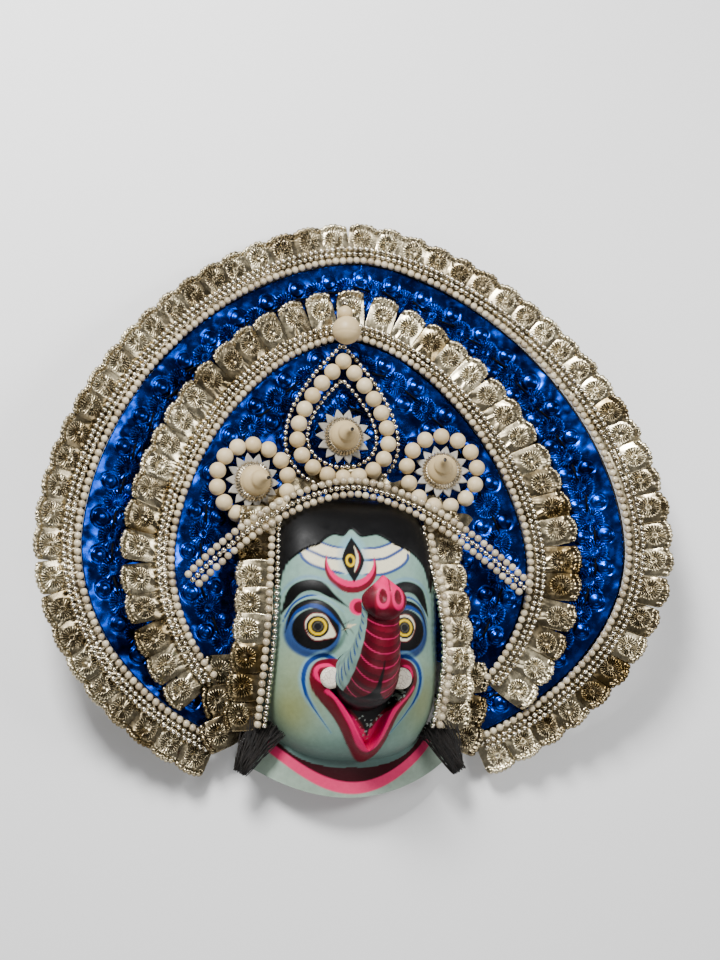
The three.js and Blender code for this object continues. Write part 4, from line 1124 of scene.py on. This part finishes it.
# The drop and the two rings: large ivory-coloured plastic balls on wire, the drop with a chain of silver beads on each
# side, and the crest of two balls and a bead on a pin where the inner line meets its crown.
ball_size, seat_level, drop_x = 16.0, 20.3, -14.0
ivory, tree, shader = matter("ivory-coloured plastic")
tree.links.new(between(tree, tint_of(tree), (186, 164, 122), (208, 190, 152)), shader.inputs["Base Color"])
tree.links.new(spread(tree, noise(tree, 80), 0.42, 0.6), shader.inputs["Roughness"])
bumped(tree, shader, noise(tree, 500), 0.06, 0.0005)


def drop_path(offset):
    a = np.linspace(0, 2 * np.pi, 721)
    top, foot = 136 + 1.6 * offset, 19 - offset
    x = drop_x + (46 + offset) / 0.77 * np.sin(a) * np.abs(np.sin(a / 2))
    y = (top + foot) / 2 + (top - foot) / 2 * np.cos(a)
    return x, y


def balls(name, x, y, size, count, seed):
    """A ring of balls over the foil, each turned a different way."""
    path = np.column_stack((x, y, wing_rise(x) + seat_level + size / 2))
    draw = np.random.default_rng(seed)
    spots = []
    for place in spaced(path, size, -0.5)[:count]:
        tilt = Matrix.Rotation(draw.uniform(-0.6, 0.6), 3, "X") @ Matrix.Rotation(draw.uniform(-0.6, 0.6), 3, "Y")
        spots.append((0, at(*place, tilt)))
    return laid_out(name, [bead(name, size, 4 if size > 10 else 2)], spots)


x, y = drop_path(0)
drop = balls("drop_of_balls", x, y, ball_size, 99, 1)
wear(drop, ivory)
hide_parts("drop_balls")
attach(drop, "root")
for node, offset in (("drop_outer_chain", 11.1), ("drop_inner_chain", -11.1)):
    x, y = drop_path(offset)
    path = np.column_stack((x, y, wing_rise(x) + seat_level + silver_size / 2))
    strung(node + "_beads", path, silver_size, silver_gap, node, "silver_bead", silver_matter, 3, 0.0, 0.2)
ring_places, ring_radius = {"left": (-104.0, 11.0), "right": (86.0, 29.0)}, 35.5
for side, (cx, cy) in ring_places.items():
    a = np.linspace(0, 2 * np.pi, 361)
    x, y = cx + ring_radius * np.sin(a), cy + ring_radius * np.cos(a)
    ring = balls("ring_of_balls_" + side, x, y, ball_size, 14, len(side))
    wear(ring, ivory)
    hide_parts("ring_balls_" + side)
    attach(ring, "root")

crest_level = 28.0
place = (drop_x / 1000, 0.164, (crest_level + 14) / 1000)
bpy.ops.mesh.primitive_uv_sphere_add(segments=64, ring_count=40, radius=0.014, location=place,
                                     rotation=(math.pi / 2, 0, 0))
crest = [bpy.context.object]
bpy.ops.object.transform_apply(location=True, rotation=True)
ground = places(crest[0])
groove = 1 - 0.035 * np.exp(-(((ground[:, 1] - 160.5) / 0.35) ** 2))
ground[:, 0] = drop_x + (ground[:, 0] - drop_x) * groove
ground[:, 2] = crest_level + 14 + (ground[:, 2] - crest_level - 14) * groove
moved_to(crest[0], ground)
for y, radius in ((183, 7.5), (192.5, 3.5)):
    place = (drop_x / 1000, y / 1000, (crest_level + 7.5) / 1000)
    bpy.ops.mesh.primitive_uv_sphere_add(segments=32, ring_count=20, radius=radius / 1000, location=place)
    bpy.ops.object.transform_apply(location=True)
    crest.append(bpy.context.object)
for k, piece in enumerate(crest):
    piece.name = f"crest_{k}"
    wear(piece, ivory if k < 2 else silver_matter)
    smoothed(piece)
    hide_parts("crest_beads")
    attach(piece, "root")

# The three finials: turned plastic cones with a ring-shaped step near the tip, each in a fluted silver collar on a
# cloudy plastic star, held by a twist of black wire that shows at the tip.
star_matter, tree, shader = matter("cloudy plastic")
tree.links.new(spread(tree, noise(tree, 60, 4), 0.34, 0.6), shader.inputs["Roughness"])
tree.links.new(between(tree, noise(tree, 45, 4), (92, 88, 80), (172, 166, 154)), shader.inputs["Base Color"])
collar_matter, tree, shader = matter("silvered plastic")
shader.inputs["Metallic"].default_value = 1.0
shader.inputs["Base Color"].default_value = (*linear((214, 206, 190)), 1)
tree.links.new(spread(tree, noise(tree, 200), 0.15, 0.32), shader.inputs["Roughness"])
wire_matter, tree, shader = matter("black binding wire")
shader.inputs["Base Color"].default_value = (*linear((20, 18, 18)), 1)
tree.links.new(spread(tree, noise(tree, 700), 0.35, 0.6), shader.inputs["Roughness"])


def turned(name, profile, sides=72):
    """A solid turned about z from (radius, height) pairs."""
    path = line_through(profile, per=5)

    def shape(u, v):
        k = v * (len(path) - 1)
        r = np.maximum(np.interp(k, np.arange(len(path)), path[:, 0]), 0)
        r = np.where((v < 0.001) | (v > 0.999), 0, r)
        return r * np.cos(2 * np.pi * u), r * np.sin(2 * np.pi * u), np.interp(k, np.arange(len(path)), path[:, 1])

    return closed(formed(name, sides, len(path) - 1, shape))


def placed(piece, turn, base):
    moved_to(piece, places(piece) @ np.array(turn).T + np.array(base))


def round_about(piece):
    """Each corner's place, with its angle and distance about the middle."""
    spot = places(piece)
    return spot, np.arctan2(spot[:, 1], spot[:, 0]), np.hypot(spot[:, 0], spot[:, 1])


star_teeth, collar_flutes = 14, 36
finials = {"left": (-104.0, 11.0, 14, -3), "centre": (-14.0, 60.0, 0, 0), "right": (86.0, 29.0, -12, 8)}
for side, (x, y, lean_x, lean_y) in finials.items():
    turn = Matrix.Rotation(math.radians(-lean_y), 3, "X") @ Matrix.Rotation(math.radians(lean_x), 3, "Y")
    base = (x, y, float(wing_rise(x)) + seat_level + ball_size / 2)
    flat = [(0, 0), (25.8, 0.0), (26.2, 0.8), (25.8, 1.6), (12, 1.6), (0, 1.6)]
    star = turned("star_disc_" + side, flat, 12 * star_teeth)
    spot, a, r = round_about(star)
    tooth = np.abs(((a * star_teeth / (2 * np.pi)) % 1) - 0.5) * 2
    spot[:, :2] *= (1 - 0.27 * (1 - tooth) * smooth((r - 15) / 9))[:, None]
    spot[:, 2] += 0.25 * (1 - tooth) * (r > 12) * (spot[:, 2] > 1)
    moved_to(star, spot)
    cup = [(0, 1.9), (17.5, 1.9), (19, 2.6), (18.4, 3.6), (15.8, 5.6), (14.6, 6.0), (0, 6.0)]
    collar = turned("finial_collar_" + side, cup, 8 * collar_flutes)
    spot, a, r = round_about(collar)
    spot[:, :2] *= (1 + 0.04 * np.cos(collar_flutes * a) * smooth((r - 14.5) / 1.2))[:, None]
    spot[:, 2] += 0.8 * np.cos(collar_flutes * a) * (r > 14.5) * (spot[:, 2] > 3)
    moved_to(collar, spot)
    cone = turned("finial_cone_" + side, [
        (0, 4.5), (14.2, 4.5), (14.6, 7), (14, 10.5), (11.6, 14), (9.3, 16.6), (8.9, 18.6), (8.5, 20.8), (6.8, 23.4),
        (4.3, 27.5), (3.1, 32), (2.4, 35), (1.4, 35.8), (0, 35.9)])
    a = np.linspace(0, 1, 61)
    made = [(star, star_matter, "star_", "star_disc"), (collar, collar_matter, "finial_", "ivory_bead"),
            (cone, ivory, "finial_", "ivory_bead")]
    for k in (0, 1):
        twist = 18 * a + np.pi * k
        path = np.column_stack((1.1 * np.cos(twist), 1.1 * np.sin(twist), 33.5 + 5.2 * a))
        made.append((bar(f"finial_wire_{side}_{k}", path, 0.55, 6), wire_matter, "finial_", "ivory_bead"))
    for piece, kind, node, slot_name in made:
        placed(piece, turn, base)
        wear(piece, kind)
        smoothed(piece, 40)
        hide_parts(node + side)
        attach(piece, "root")

# The jute hair: dark dyed fibres cut to one length, in a short loose tuft tied to the shell behind each side of the
# jaw, spreading a little towards its ends.
jute, tree, shader = matter("dyed jute")
tree.links.new(between(tree, tint_of(tree), (5, 4, 4), (24, 17, 11)), shader.inputs["Base Color"])
tree.links.new(spread(tree, noise(tree, 600), 0.7, 0.95), shader.inputs["Roughness"])
tuft_out, tuft_y, tuft_level, fibre_count, fibre_half, fibre_radius = 93, -238, 39, 230, 25, 0.42
for side, sign in (("left", -1), ("right", 1)):
    draw = np.random.default_rng(90 + sign)
    kinds = []
    for k in range(4):
        t = np.linspace(-1, 1, 9)
        curve = draw.uniform(-5, 5)
        path = np.column_stack((curve * (1 - t**2), fibre_half * t, 1.6 * np.sin(2.2 * t + k)))
        kinds.append(bar(f"fibre_{side}_{k}", path, fibre_radius, 5))
    spots = []
    for k in range(fibre_count):
        a, r = draw.uniform(0, 6.28), math.sqrt(draw.random())
        px, py, pz = 11.5 * r * math.cos(a), draw.uniform(-3, 3), 3.6 * r * math.sin(a)
        turn = Matrix.Rotation(sign * 0.5, 3, "Z")
        fan, lift = -0.03 * px + draw.uniform(-0.2, 0.2), draw.uniform(-0.06, 0.06)
        spread_out = Matrix.Rotation(fan, 3, "Z") @ Matrix.Rotation(lift, 3, "X")
        dx, dy, dz = turn @ Vector((px, py, pz))
        place = (head_x + sign * tuft_out + dx, tuft_y + dy, tuft_level + dz)
        spots.append((int(draw.integers(4)), at(*place, turn @ spread_out)))
    tuft = laid_out(f"tuft_fibres_{side}", kinds, spots)
    wear(tuft, jute)
    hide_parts(f"tuft_{side}")
    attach(tuft, "root")

# The stage: a plain pale floor, soft studio light from above left with a little from the right and from below, and
# the camera at the photograph's angle.
bpy.ops.mesh.primitive_plane_add(size=8, location=(0, 0, 0))
floor = bpy.context.object
floor.name = "floor"
floor_matter, tree, shader = matter("floor")
shader.inputs["Base Color"].default_value = (0.82, 0.82, 0.82, 1)
shader.inputs["Roughness"].default_value = 0.8
wear(floor, floor_matter)

towards = Vector((-math.tan(math.radians(14)), -math.tan(math.radians(10)), 1)).normalized()
aim = Vector((0.010, 0.0224, 0))
bpy.ops.object.camera_add()
camera = bpy.context.object
camera.data.lens = 52.5
up = Vector((0, 1, 0))
up = (up - towards * up.dot(towards)).normalized()
turn = Matrix((up.cross(towards), up, towards)).transposed().to_4x4()
turn.translation = aim + towards * 1.4
camera.matrix_world = turn
bpy.context.scene.camera = camera


def soft_light(place, size, power, colour=(1, 1, 1)):
    bpy.ops.object.light_add(type="AREA", location=place)
    lamp = bpy.context.object
    lamp.data.shape = "RECTANGLE"
    lamp.data.size, lamp.data.size_y = size
    lamp.data.energy = power
    lamp.data.color = colour
    lamp.rotation_euler = Vector(place).to_track_quat("Z", "Y").to_euler()


soft_light((-0.7, 1.1, 1.3), (0.5, 0.5), 78)
soft_light((1.1, 0.3, 1.1), (0.3, 0.9), 16)
soft_light((0.0, -1.2, 0.9), (1.0, 0.5), 7)
world = bpy.data.worlds.new("studio")
bpy.context.scene.world = world
world.use_nodes = True
world.node_tree.nodes["Background"].inputs["Color"].default_value = (0.13, 0.13, 0.133, 1)
